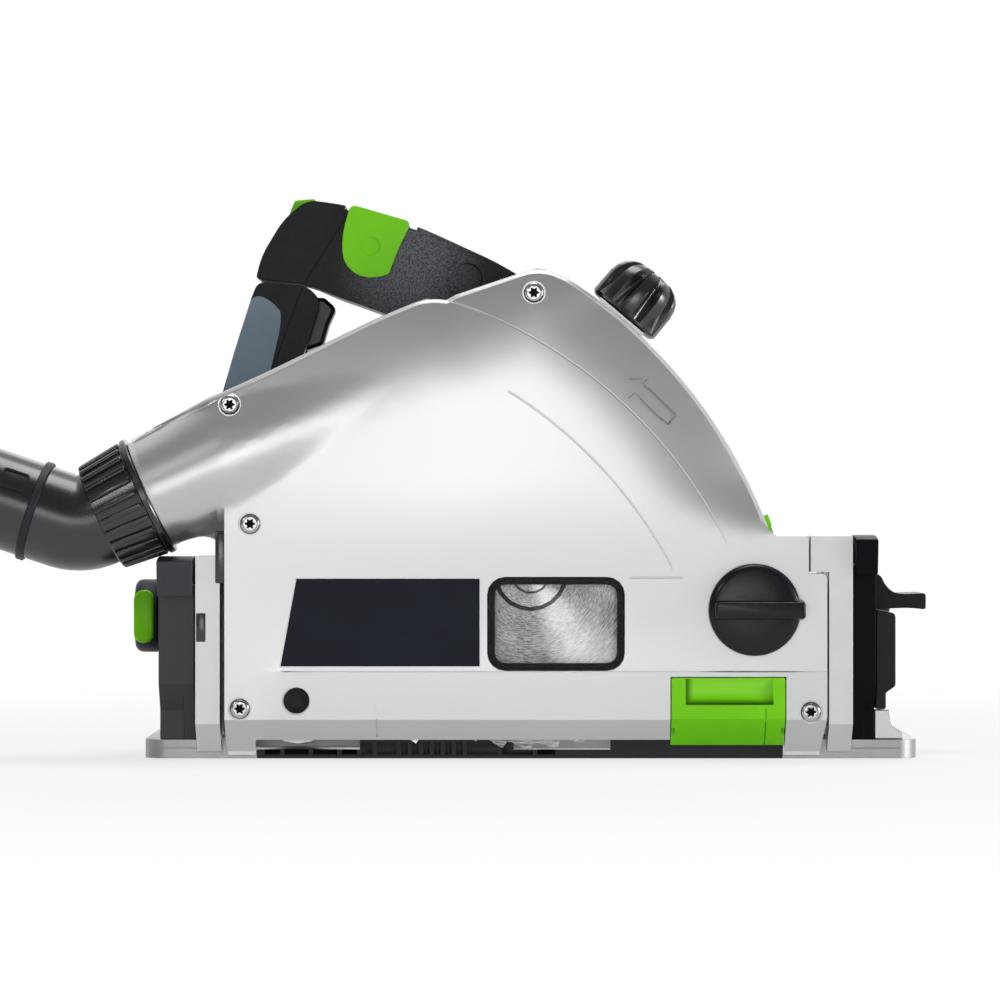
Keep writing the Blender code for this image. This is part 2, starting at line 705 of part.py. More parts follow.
# ---------------------------------------------------------------- base
def build_sole(colours):
    y0, y1 = depth(BLADE_TO_SOLE), depth(BLADE_TO_SOLE + SOLE_WIDTH)
    half = SOLE_LENGTH / 2
    sole = place(prism(round_box(-half, half, y0, y1, SOLE_CORNER, 4), 0, SOLE_TOP, "XY"), "sole_plate",
                 colours["alloy"])
    tools = []

    def pockets(v0, v1, pitch, x_from, x_to):
        count = int((x_to - x_from + RIB) // pitch)
        span = (x_to - x_from + RIB) / count
        for i in range(count):
            left = x_from + i * span
            outline = round_box(left, left + span - RIB, depth(v0), depth(v1), 2 * MM, 1)
            tools.append(prism(outline, SOLE_FLOOR, SOLE_TOP + MM, "XY"))

    rail = RAIL_GROOVE_FROM_BLADE
    land = RAIL_GROOVE_WIDTH / 2 + RAIL_WALL
    ends = half - 5 * MM
    feet = 30 * MM  # solid length at each end under the bevel segments
    edge_v = BLADE_TO_SOLE + 3 * MM
    gear_x0, gear_x1 = SPINDLE_DOWN[0] - 28 * MM, SPINDLE_DOWN[0] + 28 * MM
    pockets(edge_v, edge_v + EDGE_POCKET_DEPTH, EDGE_RIB_PITCH, gear_x1 + RIB, half - feet)
    pockets(edge_v, edge_v + EDGE_POCKET_DEPTH, EDGE_RIB_PITCH, PIVOT_X + 32 * MM, gear_x0 - RIB)
    inner_v = edge_v + EDGE_POCKET_DEPTH + RIB
    pockets(inner_v, 56 * MM, RIB_PITCH, gear_x1 + RIB, half - feet)
    pockets(inner_v, 56 * MM, RIB_PITCH, PIVOT_X + 32 * MM, gear_x0 - RIB)
    pockets(59 * MM, rail - land, RIB_PITCH, -half + feet, half - feet)
    pockets(rail + land, SOLE_WIDTH - 4 * MM, RIB_PITCH, -ends, ends)
    # opening for the gear case, and the lowered strip beside the blade where the spindle neck comes down
    tools.append(prism(round_box(gear_x0, gear_x1, depth(9.5 * MM), depth(49 * MM), 5 * MM, 3), -MM, 0.02,
                       "XY"))
    tools.append(box(gear_x0 + 6 * MM, gear_x1 - 6 * MM, depth(0), depth(10 * MM), SOLE_FLOOR, 0.02))
    # lowered bed under the pivot eye
    tools.append(box(PIVOT_X - 27 * MM, PIVOT_X + 28 * MM, depth(0), depth(30 * MM), SOLE_FLOOR, 0.02))
    # lowered bed under the arm, from the eye to the gear case
    tools.append(box(PIVOT_X, gear_x0 + 2 * MM, depth(10.5 * MM), depth(30 * MM), SOLE_FLOOR, 0.02))
    # guide rail groove in the underside
    tools.append(
        box(-half - MM, half + MM, RAIL_Y - RAIL_GROOVE_WIDTH / 2, RAIL_Y + RAIL_GROOVE_WIDTH / 2, -MM,
            RAIL_GROOVE_DEPTH)
    )
    for x in (-JAW_FROM_MIDDLE, JAW_FROM_MIDDLE):
        tools.append(rod((x, RAIL_Y, 0), (0, 0, 1), 4 * MM + GAP, 0.02, 16))
    return cut(sole, *tools)


def build_segment(name, inner_x, thick, radius, slot_radius, clamp_v, clamp_z, outward, foot, colours):
    """Upright quarter plate on the sole, with the curved slot that the tilt clamp runs in."""
    centre = (depth(0), 0)
    rest = math.degrees(math.atan2(clamp_z, clamp_v))
    start, end = rest + TILT_MIN - 0.6, rest + TILT_MAX + 0.6
    lead = math.degrees((SLOT_HALF + SLOT_EDGE) / slot_radius)
    outer_x = inner_x + outward * thick
    web_x = inner_x + outward * SEGMENT_WEB
    low = SOLE_TOP + GAP
    band = arc_band(centre, radius - SEGMENT_BAND, radius, start - lead, end + lead, 26)
    part = place(prism(band, min(inner_x, outer_x), max(inner_x, outer_x), "YZ"), name, colours["dark_cast"])
    corner = polar(centre, radius - 2 * MM, start - lead)
    web = [(depth(BLADE_TO_SOLE), low), (corner[0] - 3 * MM, low), (corner[0] - 3 * MM, corner[1] - 8 * MM)]
    web += arc(centre, radius - SEGMENT_BAND / 2, start - lead + 2, 92,
               14) + [(depth(BLADE_TO_SOLE - 6 * MM), 30 * MM)]
    base_plate = box(*sorted((inner_x, inner_x + outward * foot)), depth(14.5 * MM), corner[0] - 3 * MM, low,
                     low + 4 * MM)
    post = [(depth(BLADE_TO_SOLE), low), (depth(BLADE_TO_SOLE + 9 * MM), low),
            (depth(12 * MM), radius - 6 * MM),
            (depth(-7 * MM), radius - 8 * MM), (depth(-7 * MM), 34 * MM), (depth(BLADE_TO_SOLE), 22 * MM)]
    join(
        part,
        prism(web, *sorted((inner_x, web_x)), "YZ"),
        prism(post, *sorted((inner_x, outer_x)), "YZ"),
        base_plate,
    )
    tools = [prism(arc_slot(centre, slot_radius, SLOT_HALF, start, end, 16),
                   *sorted((inner_x - outward * MM, outer_x + outward * MM)), "YZ")]
    return cut(part, *tools)


def build_base(root, colours):
    sole = build_sole(colours)
    rear = build_segment("bevel_segment_rear", REAR_SEGMENT_X, REAR_SEGMENT_THICK, REAR_SEGMENT_RADIUS,
                         REAR_SLOT_RADIUS, REAR_CLAMP_V, REAR_CLAMP_Z, -1, REAR_SEGMENT_THICK, colours)
    front = build_segment("bevel_segment_front", FRONT_SEGMENT_X, FRONT_SEGMENT_THICK, FRONT_SEGMENT_RADIUS,
                          FRONT_SLOT_RADIUS, FRONT_CLAMP_V, FRONT_CLAMP_Z, 1, FRONT_SEGMENT_THICK + 10 * MM,
                          colours)
    # alloy corner bracket on the front segment, beside the blade
    x = FRONT_SEGMENT_X + FRONT_SEGMENT_THICK + GAP
    v0, v1 = 3.5 * MM, 13 * MM
    outline = rounded([(x, SOLE_TOP + GAP, 0), (x + 13 * MM, SOLE_TOP + GAP, 0),
                       (x + 13 * MM, SOLE_TOP + 3 * MM, 0),
                       (x + 8 * MM, SOLE_TOP + 6 * MM, 4 * MM), (x + 7 * MM, 22 * MM, 1 * MM),
                       (x, 22 * MM, 0)])
    bracket = place(prism(outline, depth(v0), depth(v1)), "front_bracket", colours["alloy"])
    # stop block above the bracket, against the outside of the front segment
    outline = rounded([(x, 22.6 * MM, 0), (x + 4.6 * MM, 22.6 * MM, 0), (x + 4.6 * MM, 30 * MM, 0),
                       (x + 9 * MM, 33 * MM, 2 * MM), (x + 9 * MM, 66 * MM, 2 * MM), (x, 68 * MM, 0)])
    block = place(prism(outline, depth(-2 * MM), depth(13 * MM)), "tilt_stop_block", colours["black_plastic"])
    carry(root, sole, rear, front, bracket, block)
    for name, x in (("rail_jaw_rear", -JAW_FROM_MIDDLE), ("rail_jaw_front", JAW_FROM_MIDDLE)):
        frame = joint_frame(f"{name}_axis", (x, RAIL_Y, SOLE_TOP), root)
        low = SOLE_TOP + GAP
        # the cam is round but sits off the axis, so turning it takes up play in the groove
        cam = place(
            prism(circle((x, RAIL_Y + 0.8 * MM), JAW_RADIUS, 24), 0.4 * MM, RAIL_GROOVE_DEPTH - GAP, "XY"),
            name,
            colours["black_plastic"])
        knob = lathe([(0, 0), (0, JAW_KNOB_RADIUS * 0.92), (1 * MM, JAW_KNOB_RADIUS),
                      (3.4 * MM, JAW_KNOB_RADIUS),
                      (4.4 * MM, JAW_KNOB_RADIUS * 0.9), (4.4 * MM, 0)], (x, RAIL_Y, low), (0, 0, 1), 24)
        grip = box(x - 2.2 * MM, x + 2.2 * MM, RAIL_Y - JAW_KNOB_RADIUS * 0.9, RAIL_Y + JAW_KNOB_RADIUS * 0.9,
                   low + MM, low + JAW_KNOB_HEIGHT)
        join(cam, rod((x, RAIL_Y, MM), (0, 0, 1), 4 * MM, low + MM, 16), knob, grip)
        carry(frame, cam)


# ---------------------------------------------------------------- tilting frame
def cover_screw_places():
    return [(-136 * MM, 160.5 * MM), (1.3 * MM, 211 * MM), (-126.5 * MM, 106.7 * MM),
            (-131.2 * MM, 23.4 * MM),
            (126 * MM, 22 * MM)]


def label_outline(grow=0.0):
    shape = [
        (LABEL_LEFT, LABEL_BOTTOM),
        (LABEL_RIGHT, LABEL_BOTTOM),
        (LABEL_RIGHT, LABEL_TOP),
        (LABEL_LEFT + LABEL_SLANT, LABEL_TOP),
    ]
    return inset(shape, -grow)


def window_outline(grow=0.0):
    return inset(
        round_box(WINDOW_X - WINDOW_WIDTH / 2, WINDOW_X + WINDOW_WIDTH / 2, WINDOW_Z - WINDOW_HEIGHT / 2,
                  WINDOW_Z + WINDOW_HEIGHT / 2, WINDOW_CORNER, 4), -grow)


def build_cover(colours):
    outline = body_outline()
    face = depth(-COVER_OUT)
    slab = prism(outline, face, depth(-COVER_SPLIT))
    soften(slab, 1, [face], COVER_ROUND, 2, lambda e: min(v.co.z for v in e.verts) > 12 * MM)
    cover = place(slab, "blade_cover", colours["cover_paint"])
    hood = place(duct(0), "hood")
    keep(hood, box(-0.3, 0.3, depth(-60 * MM), depth(-COVER_SPLIT), 0, 0.3))
    shape = lifted(hood)
    join(cover, shape)
    cut(cover, body_room(0), duct(DUCT_WALL), below_tilt_line(-0.2, 0.2))
    bosses = [cross_rod(at, 5.2 * MM, -COVER_OUT + MM, -COVER_SPLIT, 16) for at in cover_screw_places()]
    bosses.append(cross_rod(PIVOT, 9 * MM, -COVER_OUT + MM, -COVER_SPLIT, 24))
    join(cover, *bosses)
    tools = [
        prism(window_outline(), depth(-COVER_OUT - MM), depth(-10 * MM)),
        prism(window_outline(2 * MM), depth(-COVER_OUT + 1.2 * MM), depth(-COVER_OUT + 6 * MM)),
        prism(label_outline(GAP), depth(-COVER_OUT - MM), depth(-COVER_OUT + LABEL_THICK)),
        prism(box_outline(GUARD_LEFT - 0.5 * MM, GUARD_RIGHT + 0.5 * MM, -MM, GUARD_TOP + 0.5 * MM),
              depth(-COVER_OUT - MM), depth(0)),
        cross_rod((KNOB_X, KNOB_Z), BOLT_RADIUS + GAP, -COVER_OUT - MM, -10 * MM, 20),
        cross_rod(PIVOT, PIVOT_PIN_RADIUS + GAP, -COVER_OUT - MM, MM, 24),
        cross_rod(PIVOT, PIVOT_PIN_RADIUS + 0.9 * MM, -COVER_OUT - MM, -COVER_OUT + 1.5 * MM, 24),
    ]
    for at in cover_screw_places():
        tools.append(cross_rod(at, SCREW_RADIUS + 0.5 * MM, -COVER_OUT - MM, -COVER_OUT + 2 * MM, 20))
        tools.append(cross_rod(at, SCREW_SHANK + GAP, -COVER_OUT - MM, MM, 12))
    return cut(cover, *tools)


def end_wall(x0, x1, top, clamp_v, clamp_z, out_x, wall_name, colours):
    """Upright end wall of the tilting frame, hollow on its inner side, with the clamp bolt's boss."""
    side = STRIP_V
    points = [
        (depth(-side), side + CHAMFER_LIFT),
        (depth(-COVER_SPLIT), COVER_SPLIT + CHAMFER_LIFT),
        (depth(1.5 * MM), COVER_SPLIT + CHAMFER_LIFT),
        (depth(1.9 * MM), HOUSING_BOTTOM),
        (depth(clamp_v + 9 * MM), HOUSING_BOTTOM),
        (depth(clamp_v + 12 * MM), clamp_z - 8 * MM),
        (depth(clamp_v + 8 * MM), clamp_z + 9 * MM),
        (depth(24 * MM), top),
        (depth(-side), top),
    ]
    wall = prism(points, x0, x1, "YZ")
    level = x0 if abs(out_x - x1) < 1e-9 else x1
    open_side = (level, level + (1 if level == x0 else -1) * (abs(x1 - x0) - 4 * MM))
    low, high = min(open_side), max(open_side)
    if level == x0:
        low -= MM
    else:
        high += MM
    hollow_outline = [
        (depth(14 * MM), HOUSING_BOTTOM + 4 * MM),
        (depth(clamp_v + 5 * MM), HOUSING_BOTTOM + 4 * MM),
        (depth(clamp_v + 5 * MM), clamp_z - 12 * MM),
        (depth(clamp_v - 14 * MM), clamp_z + 2 * MM),
        (depth(22 * MM), top - 8 * MM),
        (depth(14 * MM), top - 5 * MM),
    ]
    part = place(wall, wall_name, colours["alloy"])
    hollow = prism(hollow_outline, low, high, "YZ")
    bore = rod((min(x0, x1) - MM, depth(clamp_v), clamp_z), (1, 0, 0), BOLT_RADIUS + GAP,
               abs(x1 - x0) + 2 * MM, 16)
    cut(part, hollow, bore)
    shape = lifted(part)
    return shape


def build_housing(colours):
    outline = body_outline()
    near = -COVER_SPLIT + GAP
    housing = place(prism(outline, depth(near), depth(HOUSING_OUT)), "inner_housing", colours["alloy"])
    hood = place(duct(0), "hood")
    keep(hood, box(-0.3, 0.3, depth(near), depth(60 * MM), 0, 0.3))
    shape = lifted(hood)
    join(housing, shape)
    cut(housing, body_room(HOUSING_OUT - HOUSING_WALL), duct(DUCT_WALL),
        box(-0.16, 0.16, depth(1.5 * MM), depth(0.05), -0.02, HOUSING_BOTTOM))
    rear_x1 = COVER_REAR_X - SEAM
    rear_x0 = rear_x1 - REAR_STRIP
    front_x0 = COVER_FRONT_X + SEAM
    rear_wall = end_wall(rear_x0, rear_x1, REAR_TOP_Z, REAR_CLAMP_V, REAR_CLAMP_Z, rear_x0, "rear_wall",
                         colours)
    front_wall = end_wall(front_x0, FRONT_STRIP_X, SHOULDER_Z, FRONT_CLAMP_V, FRONT_CLAMP_Z, FRONT_STRIP_X,
                          "front_wall", colours)
    pieces = [
        rear_wall,
        front_wall,
        box(rear_x1 - 2 * MM, COVER_REAR_X + 2 * MM, depth(3 * MM), depth(HOUSING_OUT), 14 * MM, 90 * MM),
        box(COVER_FRONT_X - 2 * MM, front_x0 + 2 * MM, depth(3 * MM), depth(HOUSING_OUT), 14 * MM, 78 * MM),
        # the end wall's upper part reaches back to the cover where the cover steps in
        box(COVER_STEP_X + SEAM, front_x0 + MM, depth(-STRIP_V), depth(HOUSING_OUT), COVER_STEP_Z + 4 * MM,
            SHOULDER_Z),
        cross_rod(PIVOT, PIVOT_EYE_RADIUS - MM, near, HOUSING_OUT, 32),
        ring(PORT + PORT_OUT * GAP, PORT_OUT, NECK_RADIUS - DUCT_WALL, PORT_RADIUS, 3 * MM, 32),
    ]
    pieces += [cross_rod(at, 5.2 * MM, near, HOUSING_OUT - MM, 16) for at in cover_screw_places()]
    # lug that carries the front handle
    reach = (FRONT_ARC + 2.2 * MM - GAP) / math.cos(math.radians(3.2))
    low, high = FRONT_HANDLE_AT - 3.2, FRONT_HANDLE_AT + 3.2
    lug = [polar(PIVOT, FRONT_ARC - 12 * MM, low), polar(PIVOT, reach, low), polar(PIVOT, reach, high),
           polar(PIVOT, FRONT_ARC - 12 * MM, high)]
    join(housing, *pieces, prism(lug, depth(3 * MM), depth(34 * MM)))
    neck = ring(PORT - PORT_OUT * 6 * MM, PORT_OUT, NECK_RADIUS - DUCT_WALL, NECK_RADIUS,
                NECK_LENGTH + 6 * MM, 32)
    bridge = ring(PORT - PORT_OUT * 6 * MM, PORT_OUT, NECK_RADIUS - MM, PORT_RADIUS - MM, 4 * MM, 32)
    keep_half = place(bridge, "bridge")
    keep(keep_half, box(-0.3, 0.3, depth(near), depth(60 * MM), 0, 0.3))
    shape = lifted(keep_half)
    join(housing, neck, shape)
    rest, full = math.degrees(REST_ANGLE), math.degrees(FULL_ANGLE)
    tools = [
        prism(arc_slot(PIVOT, PIVOT_TO_SPINDLE, SPINDLE_NECK + 1.2 * MM, full - 0.3, rest + 0.3, 14),
              depth(3 * MM), depth(HOUSING_OUT + MM)),
        cross_rod(PIVOT, PIVOT_PIN_RADIUS + GAP, -30 * MM, 30 * MM, 24),
    ]
    tools += [cross_rod(at, SCREW_SHANK + GAP, -30 * MM, 8 * MM, 12) for at in cover_screw_places()]
    return cut(housing, *tools)


def build_guard(colours):
    """Splinter guard: a green plate in the cover's mouth with a foot that stands beside the blade."""
    outer = depth(-COVER_OUT - GUARD_PROUD)
    mid_x = (GUARD_LEFT + GUARD_RIGHT) / 2
    plate = prism(round_box(GUARD_LEFT, GUARD_RIGHT, GUARD_BOTTOM, GUARD_TOP, 1.2 * MM, 2), outer,
                  depth(-2.2 * MM))
    guard = place(plate, "splinter_guard", colours["green_plastic"])
    inner = -COVER_OUT - GUARD_PROUD + GUARD_WALL
    cut(
        guard,
        box(GUARD_LEFT - MM, GUARD_RIGHT + MM, depth(inner), depth(0), 18 * MM, GUARD_TOP + MM),
        box(GUARD_LEFT + 3 * MM, GUARD_RIGHT - 3 * MM, depth(-8 * MM), depth(0), 12 * MM, 30 * MM),
        below_tilt_line(-0.2, 0.2),
    )
    tongue_v0, tongue_v1 = -COVER_OUT + COVER_WALL + GAP, -COVER_OUT + COVER_WALL + GAP + TONGUE_THICK
    join(
        guard,
        box(KNOB_X - TONGUE_WIDTH / 2, KNOB_X + TONGUE_WIDTH / 2, depth(tongue_v0), depth(tongue_v1), 30 * MM,
            KNOB_Z + 12 * MM),
        box(GUARD_LEFT + 4 * MM, GUARD_RIGHT - 3 * MM, depth(inner - MM), depth(tongue_v1), 28 * MM,
            GUARD_TOP - MM),
    )
    slot = stadium((KNOB_X, KNOB_Z - MM), (KNOB_X, KNOB_Z + GUARD_TRAVEL + MM), BOLT_RADIUS + 0.5 * MM, 8)
    thumb = cross_rod((mid_x + 1 * MM, GUARD_TOP + 14 * MM), 26 * MM, -COVER_OUT - 2 * MM,
                      -COVER_OUT + 1.4 * MM, 40)
    thumb_limit = place(thumb, "thumb")
    keep(thumb_limit, box(mid_x - 18.5 * MM, mid_x + 20.5 * MM, depth(-0.03), depth(0), 25.4 * MM,
                          GUARD_TOP - 0.8 * MM))
    shape = lifted(thumb_limit)
    groove = box(105.2 * MM, 106.2 * MM, depth(-COVER_OUT - MM), depth(-COVER_OUT + 0.6 * MM), -MM, 23.4 * MM)
    cut(guard, prism(slot, depth(-20 * MM), depth(0)), shape, groove)
    return guard


def build_tilt_frame(frame, colours):
    cover = build_cover(colours)
    housing = build_housing(colours)
    floor_v = -COVER_OUT + 2 * MM
    screws = [
        place(screw(at, floor_v - GAP, 16 * MM), f"cover_screw_{i + 1}", colours["steel"])
        for i, at in enumerate(cover_screw_places())
    ]
    window = place(
        prism(window_outline(1.6 * MM), depth(-COVER_OUT + 1.5 * MM), depth(-COVER_OUT + COVER_WALL)),
        "window_pane",
        colours["clear_plastic"])
    join(window, prism(window_outline(-GAP), depth(-COVER_OUT), depth(-COVER_OUT + 1.8 * MM)))
    label = place(
        prism(label_outline(), depth(-COVER_OUT - 0.2 * MM), depth(-COVER_OUT + LABEL_THICK - GAP)),
        "label_plate",
        colours["label_black"])
    # front handle: a ribbed knob whose stem is screwed to the top of the housing
    direction = Vector((math.cos(math.radians(FRONT_HANDLE_AT)), 0, math.sin(math.radians(FRONT_HANDLE_AT))))
    base_at = Vector((PIVOT_X, depth(FRONT_HANDLE_V), PIVOT_Z)) + direction * (FRONT_ARC + 2.2 * MM)
    r, length = FRONT_HANDLE_RADIUS, FRONT_HANDLE_LENGTH - 7 * MM
    grip = lathe(
        [(0, 0), (0, r * 0.94), (1.5 * MM, r), (length * 0.55, r), (length * 0.8, r * 0.86),
         (length * 0.95, r * 0.6),
         (length, r * 0.3), (length, 0)], base_at, direction, 36)
    front_handle = place(grip, "front_handle", colours["black_plastic"])
    side = Vector((-direction.z, 0, direction.x))
    ribs = []
    for k in range(10):
        angle = math.tau * (k + 0.5) / 10
        around = side * math.cos(angle) + Vector((0, 1, 0)) * math.sin(angle)
        groove = rod(base_at + around * (r + 1.2 * MM) + direction * 3 * MM, direction, 2.6 * MM, length, 10)
        ribs.append(groove)
    cut(front_handle, *ribs)
    # depth scale and its stop, both on arcs round the plunge pivot
    inner = DEPTH_SCALE_IN
    outer = FRONT_ARC - 3 * MM
    v0 = HOUSING_OUT + GAP
    scale = place(
        prism(arc_band(PIVOT, inner, outer, 10, DEPTH_SCALE_TOP - 1, 24), depth(v0),
              depth(v0 + DEPTH_SCALE_THICK)),
        "depth_scale", colours["label_silver"])
    # pivot pin, with its head outside the arm's eye
    pin = place(
        lathe([(0, 0), (0, PIVOT_PIN_RADIUS - 1 * MM), (1 * MM, PIVOT_PIN_RADIUS),
               (41.6 * MM, PIVOT_PIN_RADIUS),
               (41.6 * MM, 9 * MM), (44 * MM, 9 * MM), (45 * MM, 8 * MM), (45 * MM, 0)],
              (PIVOT_X, depth(-COVER_OUT + MM), PIVOT_Z), (0, 1, 0), 28), "pivot_pin", colours["steel"])
    # clamp bolts, whose heads are let into the inside of the end walls
    bolts = []
    for x0, x1, v, z, out in (
        (COVER_REAR_X - SEAM, REAR_SEGMENT_X - REAR_SEGMENT_THICK - 6 * MM, REAR_CLAMP_V, REAR_CLAMP_Z, -1),
        (COVER_FRONT_X + SEAM, FRONT_SEGMENT_X + FRONT_SEGMENT_THICK + 6 * MM, FRONT_CLAMP_V, FRONT_CLAMP_Z,
         1),
    ):
        at = (x0 - out * GAP, depth(v), z)
        span = abs(x1 - x0)
        shape = lathe([(-4 * MM, 0), (-4 * MM, 7 * MM), (0, 7 * MM), (0, BOLT_RADIUS), (span, BOLT_RADIUS),
                       (span, 0)],
                      at, (out, 0, 0), 16)
        bolts.append(place(shape, "tilt_bolt_rear" if out < 0 else "tilt_bolt_front", colours["steel"]))
    knob_bolt = lathe(
        [(0, 0), (0, 6.5 * MM), (2.2 * MM, 6.5 * MM), (2.2 * MM, BOLT_RADIUS), (14.5 * MM, BOLT_RADIUS),
         (14.5 * MM, 0)],
        (KNOB_X, depth(-10 * MM), KNOB_Z), (0, -1, 0), 20)
    guard_bolt = place(knob_bolt, "guard_bolt", colours["steel"])
    carry(frame, housing, cover, *screws, window, label, front_handle, scale, pin, *bolts, guard_bolt)


def build_tilt_movers(frame, colours):
    # dust outlet: ribbed collar, elbow and clip ring turn together on the port's neck
    up = Vector((0, 1, 0)).cross(PORT_OUT).normalized()
    if up.z < 0:
        up = -up
    swivel = joint_frame("dust_swivel_axis", PORT, frame)
    start = PORT + PORT_OUT * (3 * MM + GAP + SEAM / 2)
    flange = 3 * MM
    collar = place(
        lathe([(0, NECK_RADIUS + 0.4 * MM), (0, COLLAR_RADIUS + 1.5 * MM), (flange, COLLAR_RADIUS + 1.5 * MM),
               (flange, COLLAR_RADIUS), (COLLAR_LENGTH - 4 * MM, COLLAR_END_RADIUS),
               (COLLAR_LENGTH - 4 * MM, ELBOW_RADIUS + GAP),
               (NECK_LENGTH - 2 * MM, ELBOW_RADIUS + GAP), (NECK_LENGTH - 2 * MM, NECK_RADIUS + 0.4 * MM)],
              start, PORT_OUT, 48), "dust_collar", colours["black_plastic"])
    across = Vector((0, 1, 0))
    grooves = []
    for k in range(COLLAR_RIBS):
        angle = math.tau * (k + 0.5) / COLLAR_RIBS
        around = up * math.cos(angle) + across * math.sin(angle)
        grooves.append(
            rod(start + around * (COLLAR_RADIUS + 0.9 * MM) + PORT_OUT * (flange + 1.5 * MM),
                (PORT_OUT - around * ((COLLAR_RADIUS - COLLAR_END_RADIUS) / COLLAR_LENGTH)).normalized(),
                1.7 * MM,
                COLLAR_LENGTH, 8))
    cut(collar, *grooves)
    # elbow: a straight piece in the collar, a bend in the XZ plane, then the outlet tube
    vertex = PORT + PORT_OUT * ELBOW_VERTEX
    out_dir = Matrix.Rotation(math.radians(ELBOW_BEND), 3, "Y") @ PORT_OUT
    if out_dir.z < PORT_OUT.z:
        out_dir = Matrix.Rotation(math.radians(-ELBOW_BEND), 3, "Y") @ PORT_OUT
    trim = ELBOW_BEND_RADIUS * math.tan(math.radians(ELBOW_BEND) / 2)
    path = [(PORT + PORT_OUT * (NECK_LENGTH + 4 * MM), PORT_OUT)]
    bend_start = vertex - PORT_OUT * trim
    inward = (out_dir - PORT_OUT * out_dir.dot(PORT_OUT)).normalized()
    centre = bend_start + inward * ELBOW_BEND_RADIUS
    steps = 5
    for i in range(steps + 1):
        angle = math.radians(ELBOW_BEND) * i / steps
        way = PORT_OUT * math.cos(angle) + inward * math.sin(angle)
        spot = centre + (PORT_OUT * math.sin(angle) - inward * math.cos(angle)) * ELBOW_BEND_RADIUS
        path.append((spot, way))
    path.append((vertex + out_dir * OUTLET_LENGTH, out_dir))

    def tube(radius, extend):
        rings = []
        for index, (spot, way) in enumerate(path):
            shift = -extend if index == 0 else extend if index == len(path) - 1 else 0
            rings.append(hoop(spot + way * shift, across, way.cross(across).normalized(), radius, radius, 22))
        return loft(rings)

    elbow = place(tube(ELBOW_RADIUS, 0), "dust_elbow", colours["black_plastic"])
    ring_at = vertex + out_dir * (OUTLET_LENGTH - RING_FROM_END)
    upward = out_dir.cross(across).normalized()
    if upward.z < 0:
        upward = -upward
    tab_at = vertex + out_dir * (OUTLET_LENGTH - 12 * MM) + upward * (ELBOW_RADIUS - 1 * MM)
    tab = box(-5 * MM, 5 * MM, -4 * MM, 4 * MM, -2 * MM, 3 * MM)
    turn = Matrix((out_dir, across, upward)).transposed().to_4x4()
    if turn.determinant() < 0:
        turn = Matrix((out_dir, -across, upward)).transposed().to_4x4()
    bmesh.ops.transform(tab, matrix=Matrix.Translation(tab_at) @ turn, verts=tab.verts)
    join(elbow, tab)
    cut(elbow, tube(ELBOW_RADIUS - ELBOW_WALL, 2 * MM))
    clip = place(ring(ring_at, out_dir, ELBOW_RADIUS + GAP, ELBOW_RADIUS + 1.6 * MM, 3.2 * MM, 36),
                 "dust_clip_ring",
                 colours["dark_plastic"])
    carry(swivel, collar, elbow, clip)

    guard_frame = joint_frame("splinter_guard_slide", (KNOB_X, depth(-COVER_OUT), GUARD_TOP), frame)
    carry(guard_frame, build_guard(colours))

    knob_frame = joint_frame("splinter_knob_axis", (KNOB_X, depth(-COVER_OUT), KNOB_Z), frame)
    face = depth(-COVER_OUT - GAP)
    knob = place(
        lathe([(0, 0), (0, KNOB_RADIUS - 0.8 * MM), (0.8 * MM, KNOB_RADIUS),
               (KNOB_DISC - 1.2 * MM, KNOB_RADIUS),
               (KNOB_DISC, KNOB_RADIUS - 1.4 * MM), (KNOB_DISC, 0)], (KNOB_X, face, KNOB_Z), (0, -1, 0), 40),
        "splinter_knob", colours["black_plastic"])
    bar = prism(round_box(KNOB_X - 18.3 * MM, KNOB_X + 22.5 * MM, KNOB_Z - KNOB_BAR / 2,
                          KNOB_Z + KNOB_BAR / 2,
                          2.5 * MM, 3), face - 3 * MM, face - KNOB_HEIGHT)
    join(knob, bar)
    cut(knob, cross_rod((KNOB_X, KNOB_Z), BOLT_RADIUS + GAP, -COVER_OUT - 9 * MM, -COVER_OUT + MM, 20))
    carry(knob_frame, knob)

    for name, x, v, z, out, reach in (
        ("bevel_knob_rear", REAR_SEGMENT_X - REAR_SEGMENT_THICK - GAP, REAR_CLAMP_V, REAR_CLAMP_Z, -1,
         CLAMP_KNOB_LENGTH),
        ("bevel_knob_front", FRONT_SEGMENT_X + FRONT_SEGMENT_THICK + GAP, FRONT_CLAMP_V, FRONT_CLAMP_Z, 1,
         FRONT_WING_REACH),
    ):
        axis = joint_frame(f"{name}_axis", (x, depth(v), z), frame)
        disc, wing, bore = wing_knob(x, v, z, out, reach)
        part = place(disc, name, colours["green_plastic"] if out < 0 else colours["black_plastic"])
        join(part, wing)
        cut(part, bore)
        carry(axis, part)

    stop_frame = joint_frame("depth_stop_axis", (PIVOT_X, depth(HOUSING_OUT), PIVOT_Z), frame)
    v_face = HOUSING_OUT + GAP + DEPTH_SCALE_THICK + GAP
    half = DEPTH_STOP_SPAN / 2
    body = arc_band(PIVOT, FINGER_REACH + 2 * MM, FRONT_ARC - MM, DEPTH_STOP_AT - half,
                    DEPTH_STOP_AT + half, 5)
    stop = place(prism(body, depth(v_face), depth(v_face + 9 * MM)), "depth_stop", colours["green_plastic"])
    lip = arc_band(PIVOT, FRONT_ARC - 2.2 * MM, FRONT_ARC + 3 * MM, DEPTH_STOP_AT - half,
                   DEPTH_STOP_AT + half, 5)
    join(stop, prism(lip, depth(v_face - 1 * MM), depth(v_face + 7 * MM)),
         prism(arc_band(PIVOT, FRONT_ARC + GAP * 2, FRONT_ARC + 3 * MM, DEPTH_STOP_AT + 0.9,
                        DEPTH_STOP_AT + half, 4),
               depth(4 * MM), depth(v_face + MM)))
    carry(stop_frame, stop)


